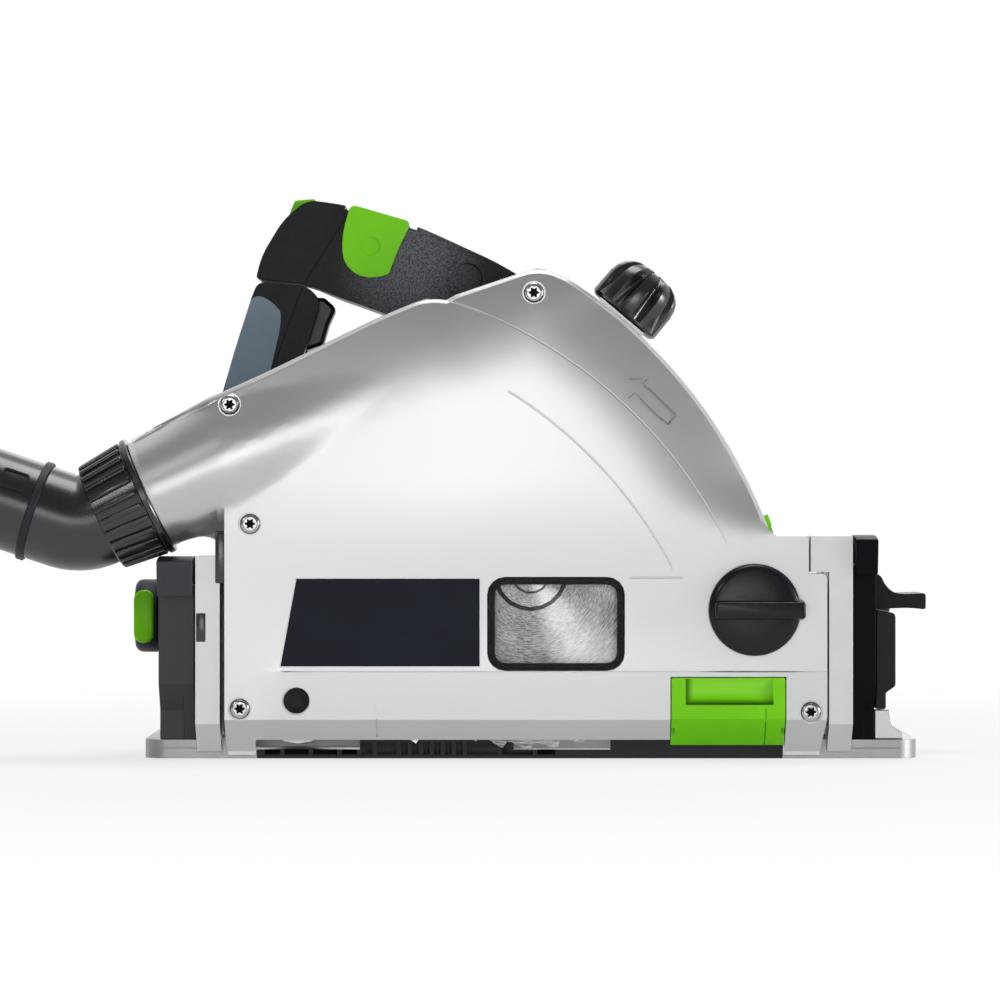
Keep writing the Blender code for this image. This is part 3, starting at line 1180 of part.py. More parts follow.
# ---------------------------------------------------------------- plunging head
def build_gear_case(colours):
    case_end = MOTOR_START - GAP
    front = HOUSING_OUT + 0.8 * MM
    case = place(
        prism(hull_of_circles(MOTOR, MOTOR_RADIUS, SPINDLE, GEAR_CASE_RADIUS, 20), depth(front),
              depth(case_end)),
        "gear_case", colours["alloy_dark"])
    tip_angle = math.degrees(REST_ANGLE) + 19
    tip = polar(PIVOT, FINGER_REACH - 7.5 * MM, tip_angle)
    arm = hull_of_circles(PIVOT, PIVOT_EYE_RADIUS, (SPINDLE[0] - 6 * MM, SPINDLE[1] - 3 * MM),
                          ARM_HALF - 1.5 * MM, 14)
    join(
        case,
        prism(arm, depth(ARM_START + 0.4 * MM), depth(ARM_START + ARM_THICK)),
        prism(stadium(MOTOR, tip, 7 * MM, 8), depth(15.5 * MM), depth(21 * MM)),
        cross_rod(SPINDLE, SPINDLE_NECK, 4.8 * MM, 14 * MM, 32),
    )
    room = hull_of_circles(MOTOR, 26 * MM, SPINDLE, WHEEL_PITCH + GEAR_MODULE + 0.6 * MM, 20)
    tools = [
        prism(room, depth(21 * MM), depth(case_end + MM)),
        cross_rod(SPINDLE, 15.3 * MM, 12.5 * MM, 30 * MM, 28),
        cross_rod(SPINDLE, 8 * MM, 0, 20 * MM, 24),
        cross_rod(PIVOT, PIVOT_PIN_RADIUS + 0.4 * MM, 0, 40 * MM, 24),
        cross_rod(MOTOR, 4.6 * MM, 16 * MM, 30 * MM, 24),
    ]
    return cut(case, *tools)


def build_knife(colours):
    """Riving knife behind the blade, on an arm from the gear case's neck; it plunges with the blade."""
    inner, outer = BLADE_RADIUS + 3 * MM, BLADE_RADIUS + 13 * MM
    first, last = 186, 236
    knife = place(
        prism(arc_band(SPINDLE, inner, outer, first, last, 18), depth(-0.8 * MM), depth(0.8 * MM)),
        "riving_knife",
        colours["steel"])
    join(
        knife,
        prism(arc_band(SPINDLE, inner + MM, outer - 2 * MM, first + 2, first + 12, 6), depth(-0.5 * MM),
              depth(6 * MM)),
    )
    ring_v0, ring_v1 = 4.75 * MM, 7.4 * MM
    plate = place(
        prism(hull_of_circles(SPINDLE, SPINDLE_NECK + 3.2 * MM, polar(SPINDLE, inner + 4.5 * MM, first + 7),
                              7.5 * MM, 12),
              depth(ring_v0), depth(ring_v1)), "plate")
    cut(plate, cross_rod(SPINDLE, SPINDLE_NECK + GAP, 0, 20 * MM, 32))
    shape = lifted(plate)
    join(knife, shape)
    return knife


def build_handle(colours):
    v0, v1 = HANDLE_V - HANDLE_HALF + 0.5 * MM, HANDLE_V + HANDLE_HALF - 0.5 * MM
    wall = HANDLE_WALL
    whole = prism(handle_outline(), depth(v0), depth(v1))
    soften(whole, 1, [depth(v0), depth(v1)], HANDLE_ROUND, 2)
    shells = []
    grip_room = [(-139 * MM, 171 * MM), (-133 * MM, 190.3 * MM), (-125.4 * MM, 215 * MM),
                 (-121 * MM, 232 * MM),
                 (-100.4 * MM, 232 * MM), (-100.4 * MM, 211 * MM), (-107.4 * MM, 188 * MM),
                 (-115 * MM, 169 * MM)]
    beam_room = [(-121 * MM, 230 * MM), (-108 * MM, 247 * MM), (-88 * MM, 246 * MM), (-84 * MM, 243.5 * MM),
                 (-54 * MM, 235.5 * MM), (-12 * MM, 219 * MM), (4 * MM, 207 * MM), (14 * MM, 190 * MM),
                 (-4 * MM, 182 * MM), (-30 * MM, 194 * MM), (-69 * MM, 209 * MM), (-98 * MM, 216 * MM)]
    saddle_notch = [(-86 * MM, 262 * MM), (-86 * MM, 248.3 * MM), (-52 * MM, 238.6 * MM),
                    (-52 * MM, 262 * MM)]
    lever_slot = [(-122 * MM, 264 * MM), (-122 * MM, 248 * MM), (-110 * MM, 243 * MM), (-93.6 * MM, 243 * MM),
                  (-93.6 * MM, 264 * MM)]
    trigger_hole = [(-118 * MM, 213.4 * MM), (-90 * MM, 213.4 * MM), (-90 * MM, 185.6 * MM),
                    (-118 * MM, 185.6 * MM)]
    for name, low, high in (
        ("handle_left", v0 - MM, HANDLE_V - GAP / 2),
        ("handle_right", HANDLE_V + GAP / 2, v1 + MM),
    ):
        shell = place(whole.copy(), name, colours["black_plastic"])
        keep(shell, box(-0.3, 0.3, depth(low), depth(high), 0, 0.4))
        room_low, room_high = (v0 + wall, HANDLE_V + MM) if name == "handle_left" else (HANDLE_V - MM,
                                                                                        v1 - wall)
        cut(
            shell,
            prism(finger_gap(), depth(v0 - MM), depth(v1 + MM)),
            prism(grip_room, depth(room_low), depth(room_high)),
            prism(beam_room, depth(room_low), depth(room_high)),
            prism(saddle_notch, depth(v0 - MM), depth(v1 + MM)),
            prism(lever_slot, depth(HANDLE_V - 4.8 * MM), depth(HANDLE_V + 4.8 * MM)),
            prism(trigger_hole, depth(HANDLE_V - 8.5 * MM), depth(HANDLE_V + 8.5 * MM)),
            cross_rod(MOTOR, MOTOR_RADIUS + GAP, 20 * MM, 120 * MM, 48),
            rod(inlet_place() - inlet_axis() * 6 * MM, inlet_axis(), 13.3 * MM, 40 * MM, 28),
        )
        posts = [cross_rod(at, 5.5 * MM, *((v0 + MM, HANDLE_V - GAP / 2) if name == "handle_left" else
                                           (HANDLE_V + GAP / 2, v1 - MM)), 16)
                                           for at in handle_screw_places()[:1]]
        join(shell, *posts)
        side_v = v0 if name == "handle_left" else v1
        sign = 1 if name == "handle_left" else -1
        low, high = sorted((depth(side_v - sign * 2 * MM), depth(side_v + sign * 1.3 * MM)))
        tools = [prism(inset(grip_panel(), -GAP), low, high)]
        for at in handle_screw_places():
            tools.append(cross_rod(at, SCREW_SHANK + GAP, HANDLE_V - 10 * MM, v1 + MM, 12))
            tools.append(cross_rod(at, SCREW_RADIUS + 0.4 * MM, v1 - 3.4 * MM, v1 + MM, 16))
        cut(shell, *tools)
        shells.append(shell)
    whole.free()
    panels = []
    for name, side_v, sign in (("grip_panel_left", v0, 1), ("grip_panel_right", v1, -1)):
        low, high = sorted((depth(side_v - sign * 0.3 * MM), depth(side_v + sign * 1.0 * MM)))
        slab = prism(grip_panel(), low, high)
        soften(slab, 1, [low if sign > 0 else high], 0.5 * MM, 1)
        panels.append(place(slab, name, colours["soft_grip"]))
    return shells + panels


def grip_panel():
    return rounded(
        [(-124.4 * MM, 211 * MM, 3 * MM), (-111.5 * MM, 201 * MM, 4 * MM), (-119 * MM, 172 * MM, 6 * MM),
         (-120 * MM, 158 * MM, 4 * MM), (-139 * MM, 156 * MM, 5 * MM), (-137 * MM, 172 * MM, 6 * MM)], 2)


def handle_screw_places():
    return [(-31 * MM, 207 * MM), (-128 * MM, 148.5 * MM), (-64 * MM, 126 * MM)]


def inlet_axis():
    return Vector((-0.94, 0, -0.34)).normalized()


def inlet_place():
    return Vector((-146 * MM, depth(HANDLE_V), 143.5 * MM))


def build_head(frame, colours):
    case = build_gear_case(colours)
    knife = build_knife(colours)
    # plate inside the gear case that carries the rear spindle bearing and the rotor's front bearing
    plate = place(
        prism(hull_of_circles(MOTOR, 25.6 * MM, SPINDLE, WHEEL_PITCH + GEAR_MODULE + 0.2 * MM, 20),
              depth(34.5 * MM),
              depth(40 * MM)), "bearing_plate", colours["alloy"])
    cut(plate, cross_rod(SPINDLE, 9.3 * MM, 30 * MM, 50 * MM, 24),
        cross_rod(MOTOR, 9.3 * MM, 30 * MM, 50 * MM, 24))
    bearings = [
        place(cross_ring(at, bore + GAP, outer, v0, v1, 26), name, colours["steel"])
        for name, at, bore, outer, v0, v1 in (
            ("spindle_bearing_front", SPINDLE, SHAFT_RADIUS, 15 * MM, 12.8 * MM, 20.5 * MM),
            ("spindle_bearing_rear", SPINDLE, SHAFT_RADIUS, 9 * MM, 34.6 * MM, 39.9 * MM),
            ("rotor_bearing_front", MOTOR, 4 * MM, 9 * MM, 34.6 * MM, 39.9 * MM),
            ("rotor_bearing_rear", MOTOR, 4 * MM, 9 * MM, 146 * MM, 152 * MM),
        )
    ]
    # motor housing, a tube with cooling slots, and its end cap
    tube = cross_ring(MOTOR, MOTOR_RADIUS - MOTOR_WALL, MOTOR_RADIUS, MOTOR_START, MOTOR_END, 48)
    motor = place(tube, "motor_housing", colours["black_plastic"])
    slots = []
    for k in range(9):
        slot = box(20 * MM, 74 * MM, -9 * MM, 9 * MM, -2 * MM, 2 * MM)
        turn = Matrix.Rotation(-math.radians(210 + 30 * k), 4, "Y")
        shift = Matrix.Translation((MOTOR[0], depth(104 * MM), MOTOR[1]))
        bmesh.ops.transform(slot, matrix=shift @ turn, verts=slot.verts)
        slots.append(slot)
    cut(motor, *slots)
    cap = place(
        lathe([(0, 0), (0, MOTOR_RADIUS), (END_CAP - 6 * MM, MOTOR_RADIUS),
               (END_CAP - 2 * MM, MOTOR_RADIUS - 3 * MM),
               (END_CAP, MOTOR_RADIUS - 8 * MM), (END_CAP, 0)], (MOTOR[0], depth(MOTOR_END + GAP), MOTOR[1]),
              (0, 1, 0), 48), "motor_end_cap", colours["dark_plastic"])
    tools = [cross_rod(MOTOR, 9.3 * MM, 140 * MM, MOTOR_END + 4 * MM, 24),
             cross_ring(MOTOR, 13 * MM, MOTOR_RADIUS - 5 * MM, 140 * MM, MOTOR_END + 8 * MM, 36)]
    for k in range(5):
        z = MOTOR[1] - 17 * MM + 6 * MM * k
        half = math.sqrt((25 * MM) ** 2 - (z - MOTOR[1]) ** 2)
        tools.append(box(MOTOR[0] - half, MOTOR[0] + half, depth(MOTOR_END + 6 * MM), depth(0.2), z - MM,
                         z + MM))
    dial_at = (MOTOR[0], MOTOR[1] + 22 * MM)
    tools.append(cross_rod(dial_at, 3 * MM + GAP, MOTOR_END + 5 * MM, 0.2, 20))
    tools.append(cross_rod(dial_at, 8.6 * MM, MOTOR_END + END_CAP - 3 * MM, 0.2, 28))
    for angle in (200, 340):
        spot = polar(MOTOR, 30 * MM, angle)
        tools.append(cross_rod(spot, SCREW_SHANK + GAP, 140 * MM, 0.2, 12))
        tools.append(cross_rod(spot, SCREW_RADIUS + 0.4 * MM, MOTOR_END + END_CAP - 5 * MM, 0.2, 16))
    cut(cap, *tools)
    inlet = place(
        lathe([(-5.5 * MM, 0), (-5.5 * MM, 13 * MM), (16 * MM, 13 * MM), (18 * MM, 12 * MM),
               (18 * MM, 9.5 * MM),
               (3 * MM, 9.5 * MM), (3 * MM, 0)], inlet_place(), inlet_axis(), 28), "power_inlet",
               colours["black_plastic"])
    stator = place(cross_ring(MOTOR, 22.6 * MM, MOTOR_RADIUS - MOTOR_WALL - GAP, 72 * MM, 118 * MM, 40),
                   "stator",
                   colours["steel"])
    switch = place(
        box(-131 * MM, -117 * MM, depth(HANDLE_V - 8 * MM), depth(HANDLE_V + 8 * MM), 170.7 * MM, 185.4 * MM),
        "power_switch", colours["dark_plastic"])
    carry(frame, case, knife, plate, *bearings, motor, cap, inlet, stator, switch, *build_handle(colours))


def build_head_movers(frame, colours):
    # spindle with blade, flanges, screw and gear wheel
    spin = joint_frame("spindle_axis", (SPINDLE[0], depth(0), SPINDLE[1]), frame)
    tooth = []
    for k in reversed(range(BLADE_TEETH)):
        a = 360 * k / BLADE_TEETH
        step = 360 / BLADE_TEETH
        tooth += [polar(SPINDLE, BLADE_RADIUS, a), polar(SPINDLE, BLADE_RADIUS - 0.5 * MM, a - 0.2 * step),
                  polar(SPINDLE, BLADE_RADIUS - TOOTH_DEPTH, a - 0.7 * step),
                  polar(SPINDLE, BLADE_RADIUS - TOOTH_DEPTH, a - 0.88 * step)]
    blade = place(prism(tooth, depth(-BLADE_THICK / 2), depth(BLADE_THICK / 2)), "blade", colours["steel"])
    tools = [cross_rod(SPINDLE, BLADE_BORE, -5 * MM, 5 * MM, 32)]
    for k in range(4):
        a = 45 + 90 * k
        inner_at, outer_at = polar(SPINDLE, BLADE_RADIUS - 16 * MM, a), polar(SPINDLE,
                                                                              BLADE_RADIUS + 4 * MM, a + 3)
        tools.append(prism(stadium(inner_at, outer_at, 0.5 * MM, 3), depth(-5 * MM), depth(5 * MM)))
        tools.append(cross_rod(inner_at, 1.8 * MM, -5 * MM, 5 * MM, 12))
    cut(blade, *tools)
    inner_flange = place(
        lathe([(-0.7 * MM, SHAFT_RADIUS + 0.2 * MM), (-0.7 * MM, BLADE_BORE - 0.2 * MM),
               (BLADE_THICK / 2 + GAP, BLADE_BORE - 0.2 * MM),
               (BLADE_THICK / 2 + GAP, FLANGE_RADIUS), (BLADE_THICK / 2 + GAP + FLANGE_THICK,
                                                        FLANGE_RADIUS - MM),
               (BLADE_THICK / 2 + GAP + FLANGE_THICK, SHAFT_RADIUS + 0.2 * MM)],
              (SPINDLE[0], depth(0), SPINDLE[1]), (0, 1, 0), 32), "inner_flange", colours["steel"])
    v_out = -BLADE_THICK / 2 - GAP
    outer_flange = place(
        lathe([(0, 4.4 * MM), (0, FLANGE_RADIUS), (FLANGE_THICK, FLANGE_RADIUS - 2 * MM),
               (FLANGE_THICK, 4.4 * MM)],
              (SPINDLE[0], depth(v_out), SPINDLE[1]), (0, -1, 0), 32), "outer_flange", colours["steel"])
    shaft = place(cross_rod(SPINDLE, SHAFT_RADIUS, -0.6 * MM, 40 * MM, 24), "spindle_shaft", colours["steel"])
    cut(shaft, cross_rod(SPINDLE, 4.3 * MM, -5 * MM, 14 * MM, 20))
    head_v = v_out - FLANGE_THICK - GAP
    bolt = place(
        lathe([(-15 * MM, 0), (-15 * MM, 4 * MM), (0, 4 * MM), (0, 9 * MM), (3.5 * MM, 9 * MM),
               (4.5 * MM, 8 * MM),
               (4.5 * MM, 3.5 * MM), (1.5 * MM, 3.5 * MM), (1.5 * MM, 0)],
              (SPINDLE[0], depth(head_v), SPINDLE[1]), (0, -1, 0), 24), "blade_screw", colours["steel"])
    wheel = place(prism(gear_outline(SPINDLE, WHEEL_TEETH, MOTOR_ANGLE), depth(22 * MM),
                        depth(22 * MM + GEAR_FACE)),
                  "gear_wheel", colours["steel"])
    cut(wheel, cross_rod(SPINDLE, SHAFT_RADIUS + GAP, 0, 50 * MM, 24))
    carry(spin, blade, inner_flange, outer_flange, shaft, bolt, wheel)

    rotor = joint_frame("rotor_axis", (MOTOR[0], depth(22 * MM), MOTOR[1]), frame)
    gap_at = MOTOR_ANGLE + math.pi
    pinion = place(
        prism(gear_outline(MOTOR, PINION_TEETH, gap_at + math.pi / PINION_TEETH), depth(22 * MM),
              depth(22 * MM + GEAR_FACE)), "pinion_shaft", colours["steel"])
    join(pinion, cross_rod(MOTOR, 3.6 * MM, 16.6 * MM, 30 * MM, 16),
         cross_rod(MOTOR, 4 * MM, 31 * MM, 152 * MM, 20))
    armature = place(cross_ring(MOTOR, 4 * MM + GAP, 21.6 * MM, 72 * MM, 118 * MM, 36), "armature",
                     colours["copper"])
    join(armature, cross_ring(MOTOR, 4 * MM + GAP, 12 * MM, 117 * MM, 139 * MM, 28))
    fan_hub = cross_ring(MOTOR, 4 * MM + GAP, 30 * MM, 58 * MM, 60 * MM, 36)
    fan = place(fan_hub, "fan", colours["dark_plastic"])
    vanes = []
    for k in range(9):
        blade_box = box(8 * MM, 29 * MM, depth(50 * MM), depth(58.5 * MM), -1 * MM, 1 * MM)
        bmesh.ops.rotate(blade_box, verts=blade_box.verts, cent=(0, 0, 0),
                         matrix=Matrix.Rotation(math.tau * k / 9, 3, "Y"))
        bmesh.ops.translate(blade_box, verts=blade_box.verts, vec=(MOTOR[0], 0, MOTOR[1]))
        vanes.append(blade_box)
    join(fan, *vanes)
    carry(rotor, pinion, armature, fan)

    trigger_frame = joint_frame("trigger_slide", (-101 * MM, depth(HANDLE_V), 199 * MM), frame)
    outline = rounded([(-113.6 * MM, 212 * MM, 0), (-96 * MM, 212 * MM, 3 * MM),
                       (-90.4 * MM, 207 * MM, 3 * MM),
                       (-94 * MM, 199 * MM, 6 * MM), (-96.6 * MM, 190 * MM, 3 * MM),
                       (-104 * MM, 187.4 * MM, 2 * MM),
                       (-109.5 * MM, 189.4 * MM, 0)])
    slab = prism(outline, depth(HANDLE_V - 7.6 * MM), depth(HANDLE_V + 7.6 * MM))
    soften(slab, 1, [depth(HANDLE_V - 7.6 * MM), depth(HANDLE_V + 7.6 * MM)], 1.5 * MM, 1)
    carry(trigger_frame, place(slab, "trigger", colours["dark_plastic"]))

    saddle_frame = joint_frame("plunge_button_slide", (-70 * MM, depth(HANDLE_V), 250 * MM), frame)
    outside = HANDLE_HALF - 0.5 * MM + 2.3 * MM
    flap = rounded([(-82.5 * MM, 254.2 * MM, 2 * MM), (-55.4 * MM, 246.4 * MM, 2 * MM),
                    (-62.5 * MM, 234 * MM, 6 * MM),
                    (-66 * MM, 224 * MM, 5 * MM), (-75 * MM, 220.8 * MM, 5 * MM),
                    (-84 * MM, 224 * MM, 5 * MM),
                    (-89 * MM, 234 * MM, 6 * MM)], 3)
    slab = prism(flap, depth(HANDLE_V - outside), depth(HANDLE_V + outside))
    soften(slab, 1, [depth(HANDLE_V - outside), depth(HANDLE_V + outside)], 1.2 * MM, 1)
    saddle = place(slab, "plunge_button", colours["green_plastic"])
    inner = HANDLE_HALF - 0.5 * MM + GAP
    under = [(-95 * MM, 215 * MM), (-95 * MM, 254.9 * MM), (-52 * MM, 242.6 * MM), (-52 * MM, 215 * MM)]
    cut(saddle, prism(under, depth(HANDLE_V - inner), depth(HANDLE_V + inner)),
        cross_rod((-74 * MM, 236 * MM), 4.6 * MM, HANDLE_V - outside - MM, HANDLE_V - outside + 0.7 * MM, 20))
    carry(saddle_frame, saddle)

    lever_frame = joint_frame("change_lever_axis", (-99 * MM, depth(HANDLE_V), 249.3 * MM), frame)
    outline = rounded([(-113 * MM, 250 * MM, 1.5 * MM), (-110 * MM, 257.6 * MM, 2 * MM),
                       (-101 * MM, 258.4 * MM, 2 * MM),
                       (-96.2 * MM, 254 * MM, 2 * MM), (-96.2 * MM, 246.6 * MM, 1.5 * MM),
                       (-102 * MM, 245.6 * MM, 1.5 * MM)])
    carry(lever_frame, place(prism(outline, depth(HANDLE_V - 4.3 * MM), depth(HANDLE_V + 4.3 * MM)),
                             "change_lever",
                             colours["green_plastic"]))

    dial_at = (MOTOR[0], MOTOR[1] + 22 * MM)
    dial_frame = joint_frame("speed_dial_axis", (dial_at[0], depth(MOTOR_END + END_CAP), dial_at[1]), frame)
    cap_face = MOTOR_END + GAP + END_CAP
    dial = place(
        lathe([(0, 0), (0, 2.8 * MM), (cap_face - 3.2 * MM - (MOTOR_END + 6.5 * MM), 2.8 * MM),
               (cap_face - 3.2 * MM - (MOTOR_END + 6.5 * MM), 8 * MM),
               (cap_face + 2.2 * MM - (MOTOR_END + 6.5 * MM), 8 * MM),
               (cap_face + 3.2 * MM - (MOTOR_END + 6.5 * MM), 7 * MM),
               (cap_face + 3.2 * MM - (MOTOR_END + 6.5 * MM), 0)],
              (dial_at[0], depth(MOTOR_END + 6.5 * MM), dial_at[1]), (0, 1, 0), 24), "speed_dial",
              colours["green_plastic"])
    carry(dial_frame, dial)


def main():
    clear_scene()
    colours = {
        "cover_paint": material("cover_paint", (0.62, 0.64, 0.66), 0.32, 0.55),
        "alloy": material("alloy", (0.62, 0.63, 0.65), 0.42, 0.85),
        "alloy_dark": material("alloy_dark", (0.36, 0.37, 0.39), 0.45, 0.8),
        "dark_cast": material("dark_cast", (0.035, 0.037, 0.043), 0.45),
        "black_plastic": material("black_plastic", (0.016, 0.018, 0.022), 0.38),
        "dark_plastic": material("dark_plastic", (0.05, 0.053, 0.06), 0.5),
        "soft_grip": material("soft_grip", (0.155, 0.21, 0.27), 0.75),
        "green_plastic": material("green_plastic", (0.117, 0.497, 0.004), 0.38),
        "clear_plastic": material("clear_plastic", (0.75, 0.78, 0.8), 0.08, 0.0, 0.25),
        "label_black": material("label_black", (0.012, 0.013, 0.018), 0.35),
        "label_silver": material("label_silver", (0.7, 0.71, 0.72), 0.35, 0.6),
        "steel": material("steel", (0.55, 0.56, 0.57), 0.3, 1.0),
        "brass": material("brass", (0.72, 0.5, 0.16), 0.3, 1.0),
        "copper": material("copper", (0.62, 0.29, 0.16), 0.35, 1.0),
    }
    root = joint_frame("base", (0, 0, 0))
    build_base(root, colours)
    tilt = joint_frame("tilt_axis", (0, depth(0), 0), root)
    build_tilt_frame(tilt, colours)
    build_tilt_movers(tilt, colours)
    head = joint_frame("plunge_axis", (PIVOT_X, depth(HOUSING_OUT), PIVOT_Z), tilt)
    build_head(head, colours)
    build_head_movers(head, colours)


main()
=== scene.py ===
"""Looks of a plunge-cut saw for a guide rail: finishes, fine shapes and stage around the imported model."""

import json
import math

import bmesh
import bpy
from mathutils import Matrix, Vector


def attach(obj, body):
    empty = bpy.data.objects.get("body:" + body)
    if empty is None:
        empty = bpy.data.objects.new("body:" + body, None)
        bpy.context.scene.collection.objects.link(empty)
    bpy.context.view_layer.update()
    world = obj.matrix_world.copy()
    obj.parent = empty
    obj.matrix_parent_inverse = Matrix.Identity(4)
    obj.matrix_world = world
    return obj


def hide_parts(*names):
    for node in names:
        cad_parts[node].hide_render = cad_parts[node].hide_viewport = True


bl_info = {
    "name": "Plunge Saw Looks",
    "version": (1, 0, 0),
    "blender": (4, 5, 0),
    "location": "View3D > Sidebar > Plunge Saw",
    "description": "Dresses the packed plunge saw and sets its stage",
    "category": "Object",
}

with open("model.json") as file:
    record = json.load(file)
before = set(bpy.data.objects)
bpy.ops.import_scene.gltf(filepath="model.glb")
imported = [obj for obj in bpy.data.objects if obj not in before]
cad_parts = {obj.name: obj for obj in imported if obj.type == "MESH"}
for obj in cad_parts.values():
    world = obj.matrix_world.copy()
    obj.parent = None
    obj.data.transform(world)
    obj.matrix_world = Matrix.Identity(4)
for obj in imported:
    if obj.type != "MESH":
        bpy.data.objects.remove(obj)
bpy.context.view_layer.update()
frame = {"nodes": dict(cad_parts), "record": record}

MM = 0.001
BLADE_Y = -0.09125  # plane of the blade; depths are counted from it, away from the camera
COVER_FACE = -17 * MM
PIVOT = (-105.75 * MM, 27 * MM)
SPINDLE = (-0.15 * MM, 84 * MM)
MOTOR = (-14.36 * MM, 103.34 * MM)
PORT = Vector((-169.4 * MM, BLADE_Y + 4 * MM, 121.5 * MM))
PORT_OUT = Vector((-math.cos(math.radians(25)), 0, -math.sin(math.radians(25))))
PORT_UP = Vector((-math.sin(math.radians(25)), 0, math.cos(math.radians(25))))
KNOB = (100.4 * MM, 68.1 * MM)
HANDLE_V = 62 * MM
HANDLE_HALF = 16.5 * MM
COVER_SCREWS = [(-136, 160.5), (1.3, 211), (-126.5, 106.7), (-131.2, 23.4), (126, 22)]
ACROSS = Vector((0, 1, 0))
TOWARDS = (0, -1, 0)  # from the cover to the camera
ALONG_X = (1, 0, 0)
MERGE = 0.01 * MM


def at_depth(v):
    return BLADE_Y + v


# ---------------------------------------------------------------- sizes and colours a user may change
class SawSizes(bpy.types.PropertyGroup):
    cover_round: bpy.props.FloatProperty(
        name="Cover rounding", description="Radius of the blade cover's outer edge", default=0.0026,
        unit="LENGTH")
    crown: bpy.props.FloatProperty(
        name="Cover crown", description="Bulge of the cover's middle", default=0.0024, unit="LENGTH")
    collar_ribs: bpy.props.IntProperty(
        name="Collar ribs", description="Grip ribs round the dust collar", default=26, min=8, max=60)
    knob_flutes: bpy.props.IntProperty(
        name="Knob flutes", description="Finger flutes round the front handle", default=10, min=6, max=24)
    screw_radius: bpy.props.FloatProperty(
        name="Screw head", description="Radius of the cover's screw heads", default=0.0046, unit="LENGTH")


def tint(name, description, default):
    return bpy.props.FloatVectorProperty(name=name, description=description, default=default, subtype="COLOR",
                                         size=3, min=0.0, max=1.0)


class SawColours(bpy.types.PropertyGroup):
    silver: tint("Silver", "Paint of the blade cover", (0.56, 0.563, 0.566))
    casting: tint("Casting", "Cast alloy of housing and sole", (0.6, 0.604, 0.608))
    green: tint("Green", "Plastic of the parts that are worked by hand", (0.2, 0.7, 0.004))
    black: tint("Black", "Plastic of handle, motor and dust outlet", (0.007, 0.008, 0.011))
    grip: tint("Grip", "Soft panels of the grip", (0.2, 0.27, 0.335))
    floor: tint("Floor", "Floor under the saw", (0.9, 0.9, 0.9))


# ---------------------------------------------------------------- finishes
def maths_node(operation, swapped=False):
    """A method that feeds a value and one more to a Math node."""
    def method(self, *others):
        values = (*others, self) if swapped else (self, *others)
        return self.finish.node("ShaderNodeMath", {"operation": operation}, *values)
    return method


class Value:
    """A number on its way through a material. Arithmetic on it adds Math nodes."""

    def __init__(self, finish, socket):
        self.finish = finish
        self.socket = socket

    __add__, __radd__ = maths_node("ADD"), maths_node("ADD", True)
    __sub__, __rsub__ = maths_node("SUBTRACT"), maths_node("SUBTRACT", True)
    __mul__, __rmul__ = maths_node("MULTIPLY"), maths_node("MULTIPLY", True)
    __truediv__ = maths_node("DIVIDE")
    size, root = maths_node("ABSOLUTE"), maths_node("SQRT")
    below, above, most = maths_node("LESS_THAN"), maths_node("GREATER_THAN"), maths_node("MAXIMUM")
    turn_from = maths_node("ARCTAN2")

    def ramp(self, low, high, to_low=0.0, to_high=1.0):
        """This value, taken from low..high to to_low..to_high, smoothly and held at both ends."""
        return self.finish.node("ShaderNodeMapRange", {"interpolation_type": "SMOOTHSTEP"}, self, low, high,
                                to_low, to_high)


